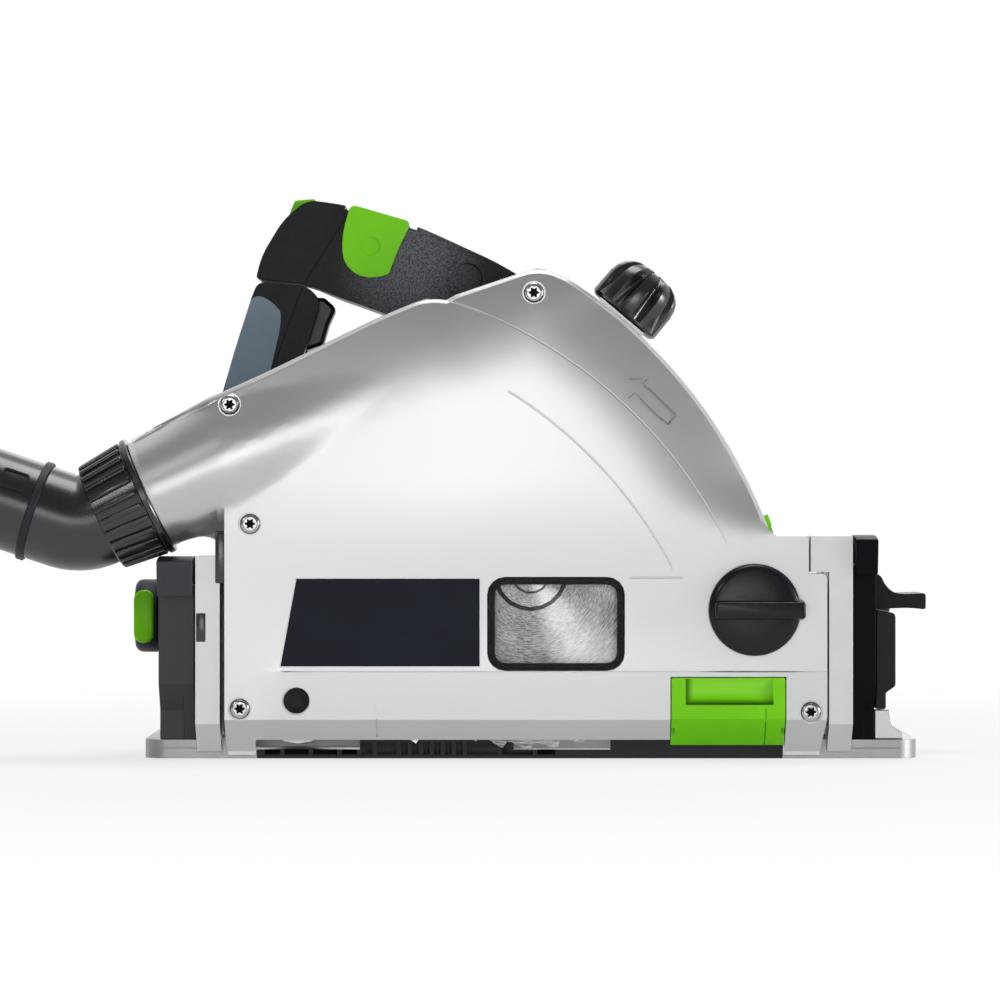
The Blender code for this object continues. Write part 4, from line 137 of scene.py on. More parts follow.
class Finish:
    """A material with one Principled shader, whose fixed numbers are set on the shader itself."""

    def __init__(self, name, colour, roughness, metallic=0.0, **fixed):
        self.material = bpy.data.materials.new(name)
        self.material.use_nodes = True
        self.tree = self.material.node_tree
        self.shader = self.tree.nodes["Principled BSDF"]
        self.colour = (*colour, 1.0)
        self.feed(Base_Color=self.colour, Roughness=roughness, Metallic=metallic, **fixed)

    def feed(self, **sockets):
        """Sets or links the shader's sockets; an underscore in a name stands for a space."""
        for name, value in sockets.items():
            socket = self.shader.inputs[name.replace("_", " ")]
            if isinstance(value, Value):
                self.tree.links.new(value.socket, socket)
            else:
                socket.default_value = value

    def node(self, kind, settings, *values, out=0, **named):
        node = self.tree.nodes.new(kind)
        for key, setting in settings.items():
            setattr(node, key, setting)
        for key, value in [*enumerate(values), *named.items()]:
            socket = node.inputs[key]
            if isinstance(value, Value):
                self.tree.links.new(value.socket, socket)
            else:
                socket.default_value = value
        return Value(self, node.outputs[out])

    def place(self, shift=(0, 0, 0), scale=(1, 1, 1)):
        spot = self.node("ShaderNodeTexCoord", {}, out="Object")
        return self.node("ShaderNodeMapping", {}, spot, Location=shift, Scale=scale)

    def axes(self, shift=(0, 0, 0)):
        """The three coordinates on the piece, in metres."""
        split = self.node("ShaderNodeSeparateXYZ", {}, self.place(shift))
        return [Value(self, split.socket.node.outputs[i]) for i in range(3)]

    def noise(self, grain, detail=2.0, stretch=(1, 1, 1)):
        """Noise of about the grain's size, in metres, from 0 to 1."""
        spot = self.place(scale=stretch)
        return self.node("ShaderNodeTexNoise", {"noise_dimensions": "3D"}, spot, Scale=1 / grain,
                         Detail=detail)

    def cells(self, grain):
        spot = self.place()
        return self.node("ShaderNodeTexVoronoi", {"feature": "F1"}, spot, Scale=1 / grain)

    def mix(self, factor, first, second):
        node = self.tree.nodes.new("ShaderNodeMix")
        node.data_type = "RGBA"
        for index, value in ((0, factor), (6, first), (7, second)):
            if isinstance(value, Value):
                self.tree.links.new(value.socket, node.inputs[index])
            else:
                node.inputs[index].default_value = value
        return Value(self, node.outputs[2])

    def shade(self, factor, low=0.8, high=1.15):
        """The base colour, darker and lighter with the factor."""
        dark = tuple(min(1.0, c * low) for c in self.colour[:3]) + (1.0,)
        pale = tuple(min(1.0, c * high) for c in self.colour[:3]) + (1.0,)
        shaded = self.mix(factor, dark, pale)
        self.feed(Base_Color=shaded)
        return shaded

    def bump(self, height, distance, strength=1.0):
        """Height runs from 0 to 1 and stands for distance, in metres."""
        self.feed(Normal=self.node("ShaderNodeBump", {}, Strength=strength, Distance=distance, Height=height))


def line_at(off, half=0.15 * MM, edge=0.4 * MM):
    """One on a line and nothing beside it, from the signed distance to the line."""
    return off.size().ramp(half, edge, 1.0, 0.0)


def silver_paint(colours):
    """Satin silver paint, with the two arcs and the level crease that the cover has pressed into it."""
    f = Finish("silver_paint", colours.silver, 0.3, 0.72)
    flake = f.noise(0.35 * MM, 2.0)
    drift = f.noise(60 * MM, 2.0)
    f.shade(drift * 0.6 + flake * 0.4, 0.93, 1.06)
    f.feed(Roughness=0.27 + flake * 0.07 + drift * 0.05)
    x, _y, z = f.axes()
    lines = None
    for centre, radius, first, last in (((-105.6, 2.9), 215.8, -41.0, 88.0),
                                        ((-119.5, -8.8), 206.6, -10.5, 63.5)):
        across, up = x - centre[0] * MM, z - centre[1] * MM
        inside = x.above(first * MM) * x.below(last * MM) * z.above(81.5 * MM)
        line = line_at((across * across + up * up).root() - radius * MM, edge=0.5 * MM) * inside
        lines = line if lines is None else lines.most(line)
    level = line_at(z - 82.6 * MM, edge=0.5 * MM)
    lines = lines.most(level * x.above(44 * MM) * x.below(68 * MM))
    f.bump(flake * 0.05 + f.noise(1.6 * MM) * 0.06 - lines, 0.25 * MM, 0.55)
    return f


def cast_alloy(name, colour, grain=0.7 * MM, metallic=0.8, roughness=0.4):
    """Cast light alloy with a fine skin and faint clouds."""
    f = Finish(name, colour, roughness, metallic)
    skin = f.noise(grain, 4.0)
    clouds = f.noise(18 * MM, 3.0)
    f.shade(clouds * 0.65 + skin * 0.35, 0.84, 1.08)
    f.feed(Roughness=roughness - 0.08 + skin * 0.12 + clouds * 0.06)
    f.bump(skin, 0.18 * MM, 0.35)
    return f


def sole_alloy(name, colour):
    """The sole's casting, with painted shade: near black along its edge below the cover, where the cover
    shades it.
    """
    f = cast_alloy(name, colour)
    x, y, _z = f.axes()
    # painted shade: the sole's edge below the cover is coloured near black where the cover shades it
    black = y.below(BLADE_Y + 5.2 * MM) * x.above(-124.5 * MM) * x.below(114.4 * MM)
    plain = f.shade(f.noise(18 * MM, 3.0), 0.5, 0.74)
    f.feed(Base_Color=f.mix(black, plain, (0.02, 0.021, 0.023, 1.0)))
    return f


def moulded(name, colour, grain=0.45 * MM, roughness=0.42, depth=0.06 * MM, coat=0.0, gleam=0.2):
    """Moulded plastic: a fine sparked texture, slightly polished where it is handled."""
    f = Finish(name, colour, roughness, 0.0, Coat_Weight=coat, Coat_Roughness=0.18, Specular_IOR_Level=gleam)
    pits = f.cells(grain)
    wear_and_painted_light = f.noise(24 * MM, 3.0)
    f.shade(wear_and_painted_light, 0.86, 1.12)
    f.feed(Roughness=roughness - 0.07 + wear_and_painted_light * 0.12 + pits * 0.04)
    f.bump(pits, depth, 0.4)
    return f


def guard_green(name, colour):
    """The guard's plastic, with light and shade painted into the hollow for the finger: a painted highlight
    paler towards its middle, painted shade along its lower and rear edge.
    """
    f = moulded(name, colour, 0.5 * MM, 0.3, 0.03 * MM, 0.0, 0.14)
    x, _y, z = f.axes()
    inside = x.above(69.5 * MM) * x.below(109.1 * MM) * z.above(25.2 * MM) * z.below(37.0 * MM)
    plain = f.shade(f.noise(24 * MM, 3.0), 0.86, 1.12)
    # painted highlight: the hollow's middle is coloured paler, where light falls into it
    wear_and_painted_light = f.mix(inside * z.ramp(27.5 * MM, 32.5 * MM) * 0.8, plain, (0.3, 0.8, 0.05, 1.0))
    # painted shade: the hollow's lower and rear edge is coloured dark green, where shade falls
    painted_recess_shade = z.ramp(25.4 * MM, 28.6 * MM, 1.0, 0.0).most(x.ramp(69.8 * MM, 73.5 * MM, 0.8, 0.0)) * inside
    f.feed(Base_Color=f.mix(painted_recess_shade, wear_and_painted_light, (0.015, 0.11, 0.002, 1.0)))
    return f


def handle_plastic(name, colour):
    """The handle's plastic, with the parting line between its two shells and the one across its cap, and a
    painted highlight on its beam.
    """
    f = Finish(name, colour, 0.34, 0.0, Specular_IOR_Level=0.16)
    pits = f.cells(0.7 * MM)
    wear_and_painted_light = f.noise(24 * MM, 3.0)
    plain = f.shade(wear_and_painted_light, 0.86, 1.14)
    x, y, z = f.axes()
    # painted highlight: a paler, speckled patch on the beam below the saddle, where light falls on it
    across, up = x + 56 * MM, z - 226 * MM
    painted_highlight_patch = (across * across + up * up).root().ramp(8 * MM, 40 * MM, 1.0, 0.0) * z.below(246 * MM)
    f.feed(Base_Color=f.mix(painted_highlight_patch * f.noise(0.9 * MM, 4.0).ramp(0.35, 0.62, 0.25, 1.0), plain,
                            (0.15, 0.155, 0.175, 1.0)))
    parting = line_at(y - (BLADE_Y + HANDLE_V))
    cap = line_at((x + 83.7 * MM) * 0.842 - (z - 251.8 * MM) * 0.539, 0.12 * MM,
                  0.35 * MM) * z.above(218.5 * MM)
    grip = line_at((x + 105.6 * MM) * 0.939 - (z - 217 * MM) * 0.345, 0.12 * MM,
                   0.35 * MM) * z.below(218 * MM)
    f.feed(Roughness=0.27 + wear_and_painted_light * 0.13 + pits * 0.04)
    f.bump(pits * 0.3 - parting.most(cap).most(grip), 0.4 * MM, 0.6)
    return f


def soft_rubber(name, colour):
    f = Finish(name, colour, 0.68, 0.0, Sheen_Weight=0.15)
    dots = f.cells(0.9 * MM)
    worn = f.noise(16 * MM, 3.0)
    f.shade(worn, 0.88, 1.12)
    f.feed(Roughness=0.62 + worn * 0.14)
    f.bump(dots, 0.14 * MM, 0.5)
    return f


def turned_steel(name, colour, centre, roughness=0.3, rings=0.45 * MM):
    """Steel ground in circles round a centre in the XZ plane, with a painted highlight: one bright streak
    across it, where the rings would reflect the light.
    """
    f = Finish(name, colour, roughness, 1.0)
    x, _y, z = f.axes()
    across, up = x - centre[0], z - centre[1]
    radius = (across * across + up * up).root()
    along = f.node("ShaderNodeCombineXYZ", {}, radius / rings, up.turn_from(across) * 9.0)
    ring = f.node("ShaderNodeTexNoise", {"noise_dimensions": "2D"}, along, Scale=1.0, Detail=3.0)
    haze = f.noise(9 * MM, 3.0)
    patch = f.noise(1.1 * MM, 4.0)
    # painted highlight: a bright streak through the centre along one direction, put into the base colour
    off = (across * 0.843 + up * 0.537).size() / ((across * 0.537 - up * 0.843).size() + 6 * MM)
    painted_streak = off.ramp(0.03, 0.42, 1.0, 0.0)
    f.shade(ring.ramp(0.3, 0.7) * 0.34 + haze.ramp(0.3, 0.7) * 0.12 + patch.ramp(0.35,
                                                                                 0.65) * 0.1 + painted_streak * 0.44,
            0.2, 3.6)
    f.feed(Roughness=roughness - 0.06 + ring * 0.14 + patch * 0.08)
    f.bump(ring * 0.8 + patch * 0.4, 0.05 * MM, 0.7)
    return f


def plain_steel(name, colour, roughness=0.3, grain=0.5 * MM):
    f = Finish(name, colour, roughness, 1.0)
    fine = f.noise(grain, 4.0)
    haze = f.noise(6 * MM, 2.0)
    f.shade(fine * 0.4 + haze * 0.6, 0.8, 1.08)
    f.feed(Roughness=roughness - 0.05 + fine * 0.1)
    f.bump(fine, 0.05 * MM, 0.3)
    return f


def wound_copper(name):
    f = Finish(name, (0.62, 0.27, 0.13), 0.35, 1.0)
    wire = f.node("ShaderNodeTexWave", {"bands_direction": "Y"}, f.place(), Scale=1 / (5 * MM),
                  Distortion=0.6)
    f.shade(wire, 0.55, 1.1)
    f.bump(wire, 0.4 * MM, 0.6)
    return f


def clear_window(name):
    """Clear plastic, a little scratched by dust."""
    f = Finish(name, (0.4, 0.42, 0.43), 0.06, 0.0, Alpha=0.03, Specular_IOR_Level=0.3)
    marks = f.noise(1.2 * MM, 3.0, (1, 1, 6))
    f.shade(marks, 0.9, 1.05)
    f.feed(Roughness=0.04 + marks * 0.06)
    f.material.surface_render_method = "BLENDED"
    return f


def label_film(name):
    """Satin black film over a fine texture."""
    f = Finish(name, (0.006, 0.0075, 0.014), 0.5, 0.0, Specular_IOR_Level=0.16)
    fine = f.noise(0.4 * MM, 3.0)
    f.shade(f.noise(20 * MM, 2.0) * 0.5 + fine * 0.5, 0.5, 2.2)
    f.feed(Roughness=0.46 + fine * 0.14)
    f.bump(fine, 0.05 * MM, 0.5)
    return f


FINISHES = {}


def make_finishes(colours):
    black = tuple(colours.black)
    FINISHES.update({
        "cover_paint": silver_paint(colours),
        "alloy": cast_alloy("cast_alloy", colours.casting),
        "sole_alloy": sole_alloy("sole_alloy", colours.casting),
        "alloy_dark": cast_alloy("dark_alloy", (0.3, 0.31, 0.33), 0.9 * MM, 0.75, 0.46),
        "dark_cast": cast_alloy("black_casting", (0.026, 0.028, 0.034), 0.5 * MM, 0.1, 0.42),
        "deep_cast": moulded("deep_casting", (0.003, 0.0035, 0.005), 0.6 * MM, 0.45, 0.08 * MM, 0.0, 0.06),
        "black_plastic": moulded("black_plastic", black),
        "handle_black": handle_plastic("handle_black", black),
        "gloss_black": moulded("gloss_black", black, 0.7 * MM, 0.24, 0.03 * MM, 0.0, 0.8),
        "dark_plastic": moulded("grey_plastic", (0.024, 0.026, 0.032), 0.6 * MM, 0.45),
        "soft_grip": soft_rubber("soft_grip", colours.grip),
        "green_plastic": moulded("green_plastic", colours.green, 0.5 * MM, 0.32, 0.03 * MM, 0.0, 0.14),
        "guard_green": guard_green("guard_green", colours.green),
        "knob_black": moulded("knob_black", black, 0.7 * MM, 0.26, 0.04 * MM, 0.0, 0.26),
        "clear_plastic": clear_window("clear_plastic"),
        "label_black": label_film("label_film"),
        "label_silver": plain_steel("scale_silver", (0.7, 0.71, 0.72), 0.4),
        "steel": plain_steel("plain_steel", (0.56, 0.57, 0.58)),
        "blade_steel": turned_steel("ground_steel", (0.2, 0.2, 0.205), SPINDLE),
        "screw_steel": plain_steel("screw_steel", (0.46, 0.46, 0.47), 0.26),
        "copper": wound_copper("wound_copper"),
    })


# ---------------------------------------------------------------- shaping
def piece(bm, name, finish, body, stands_for=(), weigh=False, sharp=38):
    """Turns a bmesh into a finished piece that rides on a body."""
    mesh = bpy.data.meshes.new(name)
    bm.to_mesh(mesh)
    bm.free()
    mesh.shade_smooth()
    mesh.set_sharp_from_angle(angle=math.radians(sharp))
    obj = bpy.data.objects.new(name, mesh)
    bpy.context.scene.collection.objects.link(obj)
    mesh.materials.append(FINISHES[finish].material)
    if weigh:
        obj.modifiers.new("face_weights", "WEIGHTED_NORMAL").keep_sharp = True
    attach(obj, body)
    if stands_for:
        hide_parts(*stands_for)
    return obj


def outward(bm):
    bmesh.ops.remove_doubles(bm, verts=bm.verts, dist=0.005 * MM)
    bmesh.ops.recalc_face_normals(bm, faces=bm.faces)
    return bm


def flat_shape(bm, corners, v):
    """A face in the XZ plane from (x, z, corner radius) in millimetres, at depth v."""
    verts = [bm.verts.new((x * MM, at_depth(v), z * MM)) for x, z, _r in corners]
    bm.faces.new(verts)
    for vert, (_x, _z, radius) in zip(verts, corners):
        if radius:
            bmesh.ops.bevel(bm, geom=[vert], offset=radius * MM, offset_type="OFFSET", segments=4,
                            profile=0.5,
                            affect="VERTICES", material=-1)


def raised(bm, vec):
    """Pushes a flat form along a vector and returns the corners that moved."""
    grown = bmesh.ops.extrude_face_region(bm, geom=bm.faces[:])
    moved = [g for g in grown["geom"] if isinstance(g, bmesh.types.BMVert)]
    bmesh.ops.translate(bm, verts=moved, vec=vec)
    return moved


def slab(corners, v0, v1):
    """A flat shape pushed from depth v0 to v1."""
    bm = bmesh.new()
    flat_shape(bm, corners, v0)
    raised(bm, (0, v1 - v0, 0))
    return outward(bm)


def hoop(corners, v, width):
    """A flat ring of some width inside an outline."""
    bm = bmesh.new()
    flat_shape(bm, corners, v)
    whole = bm.faces[:]
    bmesh.ops.inset_region(bm, faces=whole, thickness=width, use_boundary=True)
    bmesh.ops.delete(bm, geom=whole, context="FACES_ONLY")
    return bm


def every(bm):
    return bm.verts[:] + bm.edges[:] + bm.faces[:]


def below_bevel(bm, v, z):
    """Takes off what lies past the 45 degree plane through depth v and height z, and closes the cut."""
    way = Vector((0, -1, -1)).normalized()
    cut = bmesh.ops.bisect_plane(bm, geom=every(bm), dist=1e-7, plane_co=(0, at_depth(v), z), plane_no=way,
                                 clear_outer=True)
    loose = [e for e in cut["geom_cut"] if isinstance(e, bmesh.types.BMEdge)]
    bmesh.ops.contextual_create(bm, geom=loose)
    return outward(bm)


def soften(bm, width, segments=2, angle=30.0, where=None):
    """Rounds every edge that is sharper than the angle."""
    limit = math.radians(angle)
    edges = [e for e in bm.edges if len(e.link_faces) == 2 and e.calc_face_angle() > limit
             and (where is None or where(e))]
    bmesh.ops.bevel(bm, geom=edges, offset=width, offset_type="OFFSET", segments=segments, profile=0.5,
                    affect="EDGES", clamp_overlap=True, material=-1)
    return bm


def turned(profile, origin, axis, steps=64):
    """A shape of revolution: profile holds (distance along the axis, radius) in millimetres."""
    bm = bmesh.new()
    verts = [bm.verts.new((radius * MM, 0, along * MM)) for along, radius in profile]
    edges = [bm.edges.new(pair) for pair in zip(verts, verts[1:])]
    bmesh.ops.spin(bm, geom=verts + edges, cent=(0, 0, 0), axis=(0, 0, 1), angle=math.tau, steps=steps,
                   use_merge=True, use_duplicate=False)
    outward(bm)
    turn = Vector((0, 0, 1)).rotation_difference(Vector(axis)).to_matrix().to_4x4()
    bmesh.ops.transform(bm, matrix=Matrix.Translation(Vector(origin)) @ turn, verts=bm.verts)
    return bm


def peg(radius, length, origin, axis, steps):
    """A round peg, in millimetres, mostly to cut a hole with."""
    return turned([(0, 0), (0, radius), (length, radius), (length, 0)], origin, axis, steps)


def block(x0, x1, v0, v1, z0, z1):
    """A box in metres, between two depths."""
    bm = bmesh.new()
    bmesh.ops.create_cube(bm, size=1.0)
    bmesh.ops.scale(bm, vec=(x1 - x0, v1 - v0, z1 - z0), verts=bm.verts)
    bmesh.ops.translate(bm, vec=((x0 + x1) / 2, at_depth((v0 + v1) / 2), (z0 + z1) / 2), verts=bm.verts)
    return bm


def tilted(bm, v, z, angle):
    """The shape turned about the X axis through depth v and height z."""
    bmesh.ops.rotate(bm, verts=bm.verts, cent=(0, at_depth(v), z),
                     matrix=Matrix.Rotation(math.radians(angle), 3, "X"))
    return bm


def nodding(bm, x, z, angle):
    """The shape turned about the Y axis through x and z."""
    bmesh.ops.rotate(bm, verts=bm.verts, cent=(x, 0, z), matrix=Matrix.Rotation(math.radians(angle), 3, "Y"))
    return bm


def merged(*shapes):
    """Several bmeshes as one, each left as its own closed form."""
    whole = shapes[0]
    for shape in shapes[1:]:
        spare = bpy.data.meshes.new("spare")
        shape.to_mesh(spare)
        shape.free()
        whole.from_mesh(spare)
        bpy.data.meshes.remove(spare)
    return whole


def carved(bm, cutters):
    """The shape with others cut from it, through Boolean modifiers that are applied at once."""
    mesh = bpy.data.meshes.new("carved")
    bm.to_mesh(mesh)
    bm.free()
    obj = bpy.data.objects.new("carved", mesh)
    bpy.context.scene.collection.objects.link(obj)
    tools = []
    for cutter in cutters:
        tool_mesh = bpy.data.meshes.new("tool")
        cutter.to_mesh(tool_mesh)
        cutter.free()
        tool = bpy.data.objects.new("tool", tool_mesh)
        bpy.context.scene.collection.objects.link(tool)
        tools.append(tool)
        step = obj.modifiers.new("cut", "BOOLEAN")
        step.object = tool
        step.operation = "DIFFERENCE"
        step.solver = "EXACT"
    shown = obj.evaluated_get(bpy.context.evaluated_depsgraph_get())
    result = bmesh.new()
    result.from_mesh(shown.to_mesh())
    shown.to_mesh_clear()
    for spare in (obj, *tools):
        data = spare.data
        bpy.data.objects.remove(spare)
        bpy.data.meshes.remove(data)
    bmesh.ops.remove_doubles(result, verts=result.verts, dist=MERGE)
    return result


def solid_copy(node):
    """A CAD node's own shape, joined up, with its flat faces whole again."""
    bm = bmesh.new()
    bm.from_mesh(frame["nodes"][node].data)
    bmesh.ops.remove_doubles(bm, verts=bm.verts, dist=MERGE)
    bmesh.ops.dissolve_limit(bm, angle_limit=math.radians(0.6), verts=bm.verts, edges=bm.edges,
                             delimit={"NORMAL"})
    return bm


def dressed(node, finish, body, width):
    """A CAD node's shape with its edges broken."""
    bm = soften(solid_copy(node), width, 2, 32.0)
    piece(bm, f"{node}_skin", finish, body, (node,), weigh=True)


def star_screw(x, z, face, radius):
    """Pan head screw with a six-lobed socket, and the floor of that socket as a disc of its own, which is
    given a near-black finish as painted shade.
    """
    r = radius / MM
    place = Vector((x, at_depth(face), z))
    head = turned([(0, 0), (0, r), (0.9, r), (1.6, r * 0.94), (2.1, r * 0.8), (2.3, r * 0.62),
                   (2.2, r * 0.52),
                   (0.9, r * 0.5)], place, TOWARDS, 48)
    # the socket's floor as a separate disc, later coloured near black as painted shade inside the socket
    floor = turned([(0.9, r * 0.5), (0.9, 0)], place, TOWARDS, 48)
    for part in (head, floor):
        for vert in part.verts:
            rel = vert.co - place
            off = math.hypot(rel.x, rel.z)
            if 0.3 * radius < off < 0.56 * radius and -rel.y < 2.25 * MM:
                reach = 0.82 + 0.18 * math.cos(6 * math.atan2(rel.z, rel.x))
                vert.co.x, vert.co.z = place.x + rel.x * reach, place.z + rel.z * reach
    return head, floor


def smooth_step(value, low, high):
    t = min(1.0, max(0.0, (value - low) / (high - low)))
    return t * t * (3 - 2 * t)


# ---------------------------------------------------------------- blade cover
COVER_CORNERS = [
    (-139.3, 15.5, 0), (-137.4, 3.7, 0), (-124.7, 3.7, 1.0), (-124.7, 9, 1.2), (114.4, 9, 1.2),
    (114.4, 3.7, 1.0),
    (131.0, 3.7, 0), (133.3, 19.8, 0), (133.3, 84.3, 2.6), (125, 84.3, 0), (125, 101.2, 0.6),
    (110.5, 101.2, 0),
]
COVER_TOP = [
    (4, 223, 7), (-34.2, 210.2, 0), (-38.3, 207.9, 0), (-47.7, 208.8, 6), (-67.5, 200.7, 10),
    (-131.9, 169.2, 20),
    (-146.5, 163.4, 10), (-181.2, 144.9, 0), (-159.6, 98.4, 0), (-145, 102.2, 6), (-139.3, 96, 2),
]


def front_arc():
    """Points of the cover's round front, an arc round the plunge pivot."""
    cx, cz, radius = PIVOT[0] / MM, PIVOT[1] / MM, 226.5
    start = math.degrees(math.asin((104 - cz) / radius))
    steps = 26
    spots = []
    for i in range(steps + 1):
        angle = math.radians(start + (57.5 - start) * i / steps)
        spots.append((cx + radius * math.cos(angle), cz + radius * math.sin(angle), 0))
    return spots


def rolled_edge():
    """The part of the cover's outline whose edge is rolled: its front arc and its top."""
    return front_arc() + COVER_TOP[:8]


def from_edge(x, z, path):
    """Distance to a path of (x, z, radius) corners in millimetres."""
    least = 1e9
    for (ax, az, _a), (bx, bz, _b) in zip(path, path[1:]):
        dx, dz = (bx - ax) * MM, (bz - az) * MM
        share = ((x - ax * MM) * dx + (z - az * MM) * dz) / (dx * dx + dz * dz)
        share = min(1.0, max(0.0, share))
        least = min(least, math.hypot(x - ax * MM - share * dx, z - az * MM - share * dz))
    return least


def cover_height(x, z, v, sizes, rolled):
    """Depth of the cover's outer skin at a point whose flat depth is v."""
    spot = Vector((x, 0, z)) - Vector((PORT.x, 0, PORT.z))
    inward, across = -spot.dot(PORT_OUT), spot.dot(PORT_UP)
    radius = 25.5 * MM - 12.5 * MM * smooth_step(inward, 30 * MM, 135 * MM)
    off = from_edge(x, z, rolled)
    flat = v + max(0.0, 1 - off / (46 * MM)) ** 2 * 6.0 * MM * smooth_step(z, 98 * MM, 130 * MM)
    if v < -16.9 * MM:
        reach = math.hypot(x + 15 * MM, z - 95 * MM) / (150 * MM)
        flat -= sizes.crown * max(0.0, 1 - reach * reach) * smooth_step(z, 48 * MM, 128 * MM)
        if z < 40.2 * MM:
            flat -= 0.5 * MM * smooth_step(z, 14 * MM, 39 * MM) * smooth_step(x, -120 * MM, -110 * MM)
    tube = 4 * MM - math.sqrt(max(0.0, radius * radius - across * across))
    soft = max(0.0, 9 * MM - abs(flat - tube)) ** 2 / (36 * MM)
    depth = min(flat, tube) - soft
    near = 1 - smooth_step(inward, 0, 42 * MM)
    near *= 1 - smooth_step(x, -141.5 * MM, -138 * MM) * smooth_step(-across, 4 * MM, 12 * MM)
    depth = depth * (1 - near) + tube * near
    if z < 30 * MM:
        depth = max(depth, -(z - 1.5 * MM))
    return min(-2.3 * MM, depth)


def cover_inside():
    """The room inside the cover: its flat floor, and the mouth under the 45 degree edge."""
    room = slab([(-135, 8, 0), (109, 8, 0), (109, 60, 12), (84, 100, 12), (40, 168, 12), (-40, 172, 10),
                 (-118, 132, 10), (-135, 96, 6)], -13 * MM, 2 * MM)
    return below_bevel(room, -3 * MM, 7.5 * MM)


class SAW_OT_cover(bpy.types.Operator):
    """Blade cover with its duct, rolled rim, pressed arcs and screws"""
    bl_idname = "saw.cover"
    bl_label = "Blade cover"

    def execute(self, context):
        sizes = context.scene.saw_sizes
        bm = slab(COVER_CORNERS + front_arc() + COVER_TOP, COVER_FACE, -2 * MM)
        front = at_depth(COVER_FACE)
        rolled = rolled_edge()
        rim = [e for e in bm.edges if all(abs(v.co.y - front) < 1e-6 for v in e.verts)
               and max(from_edge(v.co.x, v.co.z, rolled) for v in e.verts) < 2.5 * MM
               and max(v.co.x for v in e.verts) < 110.4 * MM
               and max(-(v.co - PORT).dot(PORT_OUT) for v in e.verts) > 3 * MM]
        bmesh.ops.bevel(bm, geom=rim, offset=sizes.cover_round, offset_type="OFFSET", segments=6, profile=0.5,
                        affect="EDGES", clamp_overlap=False, material=-1)
        # cuts that let the skin bend, among them those beside the long creases
        cuts = [(Vector((0, 0, z * MM)), Vector((0, 0, 1))) for z in (18.5, 39.9, 40.5, *range(48, 224, 6))]
        cuts += [(Vector((x * MM, 0, 0)), Vector(ALONG_X)) for x in (-141.5, -138, *range(-132, 128, 6))]
        for spot, way in cuts:
            bmesh.ops.bisect_plane(bm, geom=every(bm), dist=1e-7, plane_co=spot, plane_no=way)
        for step in range(21):
            near = [f for f in bm.faces if -(f.calc_center_median() - PORT).dot(PORT_OUT) < 112 * MM]
            geom = set(near) | {e for f in near for e in f.edges} | {v for f in near for v in f.verts}
            bmesh.ops.bisect_plane(bm, geom=list(geom), dist=1e-7,
                                   plane_co=PORT + PORT_UP * (step - 10) * 2.5 * MM,
                                   plane_no=PORT_UP)
        back = at_depth(-2 * MM)
        for vert in bm.verts:
            if vert.co.y < back - 1e-5:
                vert.co.y = at_depth(cover_height(vert.co.x, vert.co.z, vert.co.y - BLADE_Y, sizes, rolled))
        outward(bm)
        tick = tilted(block(-69.9 * MM, -69.2 * MM, -13.8 * MM, -12.1 * MM, 8.7 * MM, 20.3 * MM),
                      -13 * MM, 14.5 * MM, 45)
        cutters = [
            cover_inside(),
            slab([(-19.8, 40.5, 8), (42.2, 40.5, 8), (42.2, 82.9, 8), (-19.8, 82.9, 8)], -40 * MM, 5 * MM),
            slab([(62.7, -3, 0), (114.9, -3, 0), (114.9, 37.9, 0), (62.7, 37.9, 0)], -40 * MM, 5 * MM),
            slab([(-113.1, 42.3, 0), (-22.9, 42.3, 0), (-22.9, 82.3, 0), (-106, 82.3, 0)], -40 * MM,
                 -16.2 * MM),
            block(-69.9 * MM, -69.2 * MM, -20 * MM, -16.2 * MM, 17 * MM, 25.0 * MM),
            tick,
            turned([(0, 0), (0, 6.4), (18.5, 6.4), (18.5, 5.9), (40, 5.9), (40, 0)],
                   (PIVOT[0], at_depth(-33 * MM), PIVOT[1]), ACROSS, 40),
            peg(5.4, 20, (KNOB[0], at_depth(-33 * MM), KNOB[1]), ACROSS, 32),
        ]
        seats = [cover_height(x * MM, z * MM, COVER_FACE, sizes, rolled) + 1.8 * MM for x, z in COVER_SCREWS]
        for (x, z), seat in zip(COVER_SCREWS, seats):
            cutters.append(peg(5.3, 15, (x * MM, at_depth(seat), z * MM), TOWARDS, 36))
        bm = carved(bm, cutters)
        piece(bm, "cover_skin", "cover_paint", "tilt_frame", ("blade_cover",), weigh=True,
              sharp=32)
        sockets = []
        for index, (x, z) in enumerate(COVER_SCREWS):
            screw, socket = star_screw(x * MM, z * MM, seats[index], sizes.screw_radius)
            sockets.append(socket)
            piece(screw, f"cover_screw_head_{index + 1}", "screw_steel", "tilt_frame",
                  (f"cover_screw_{index + 1}",))
        # painted shade: the socket floors get a near-black finish, standing in for the shade inside the
        # sockets
        piece(merged(*sockets), "screw_socket_shade", "deep_cast", "tilt_frame")
        cap = turned([(0, 0), (0, 5.6), (2.4, 5.6), (2.7, 5.3), (2.7, 4.9), (2.2, 4.2), (2.0, 2.2), (2.0, 0)],
                     (PIVOT[0], at_depth(-14.2 * MM), PIVOT[1]), TOWARDS, 40)
        piece(cap, "pivot_cap", "black_plastic", "tilt_frame")
        return {"FINISHED"}


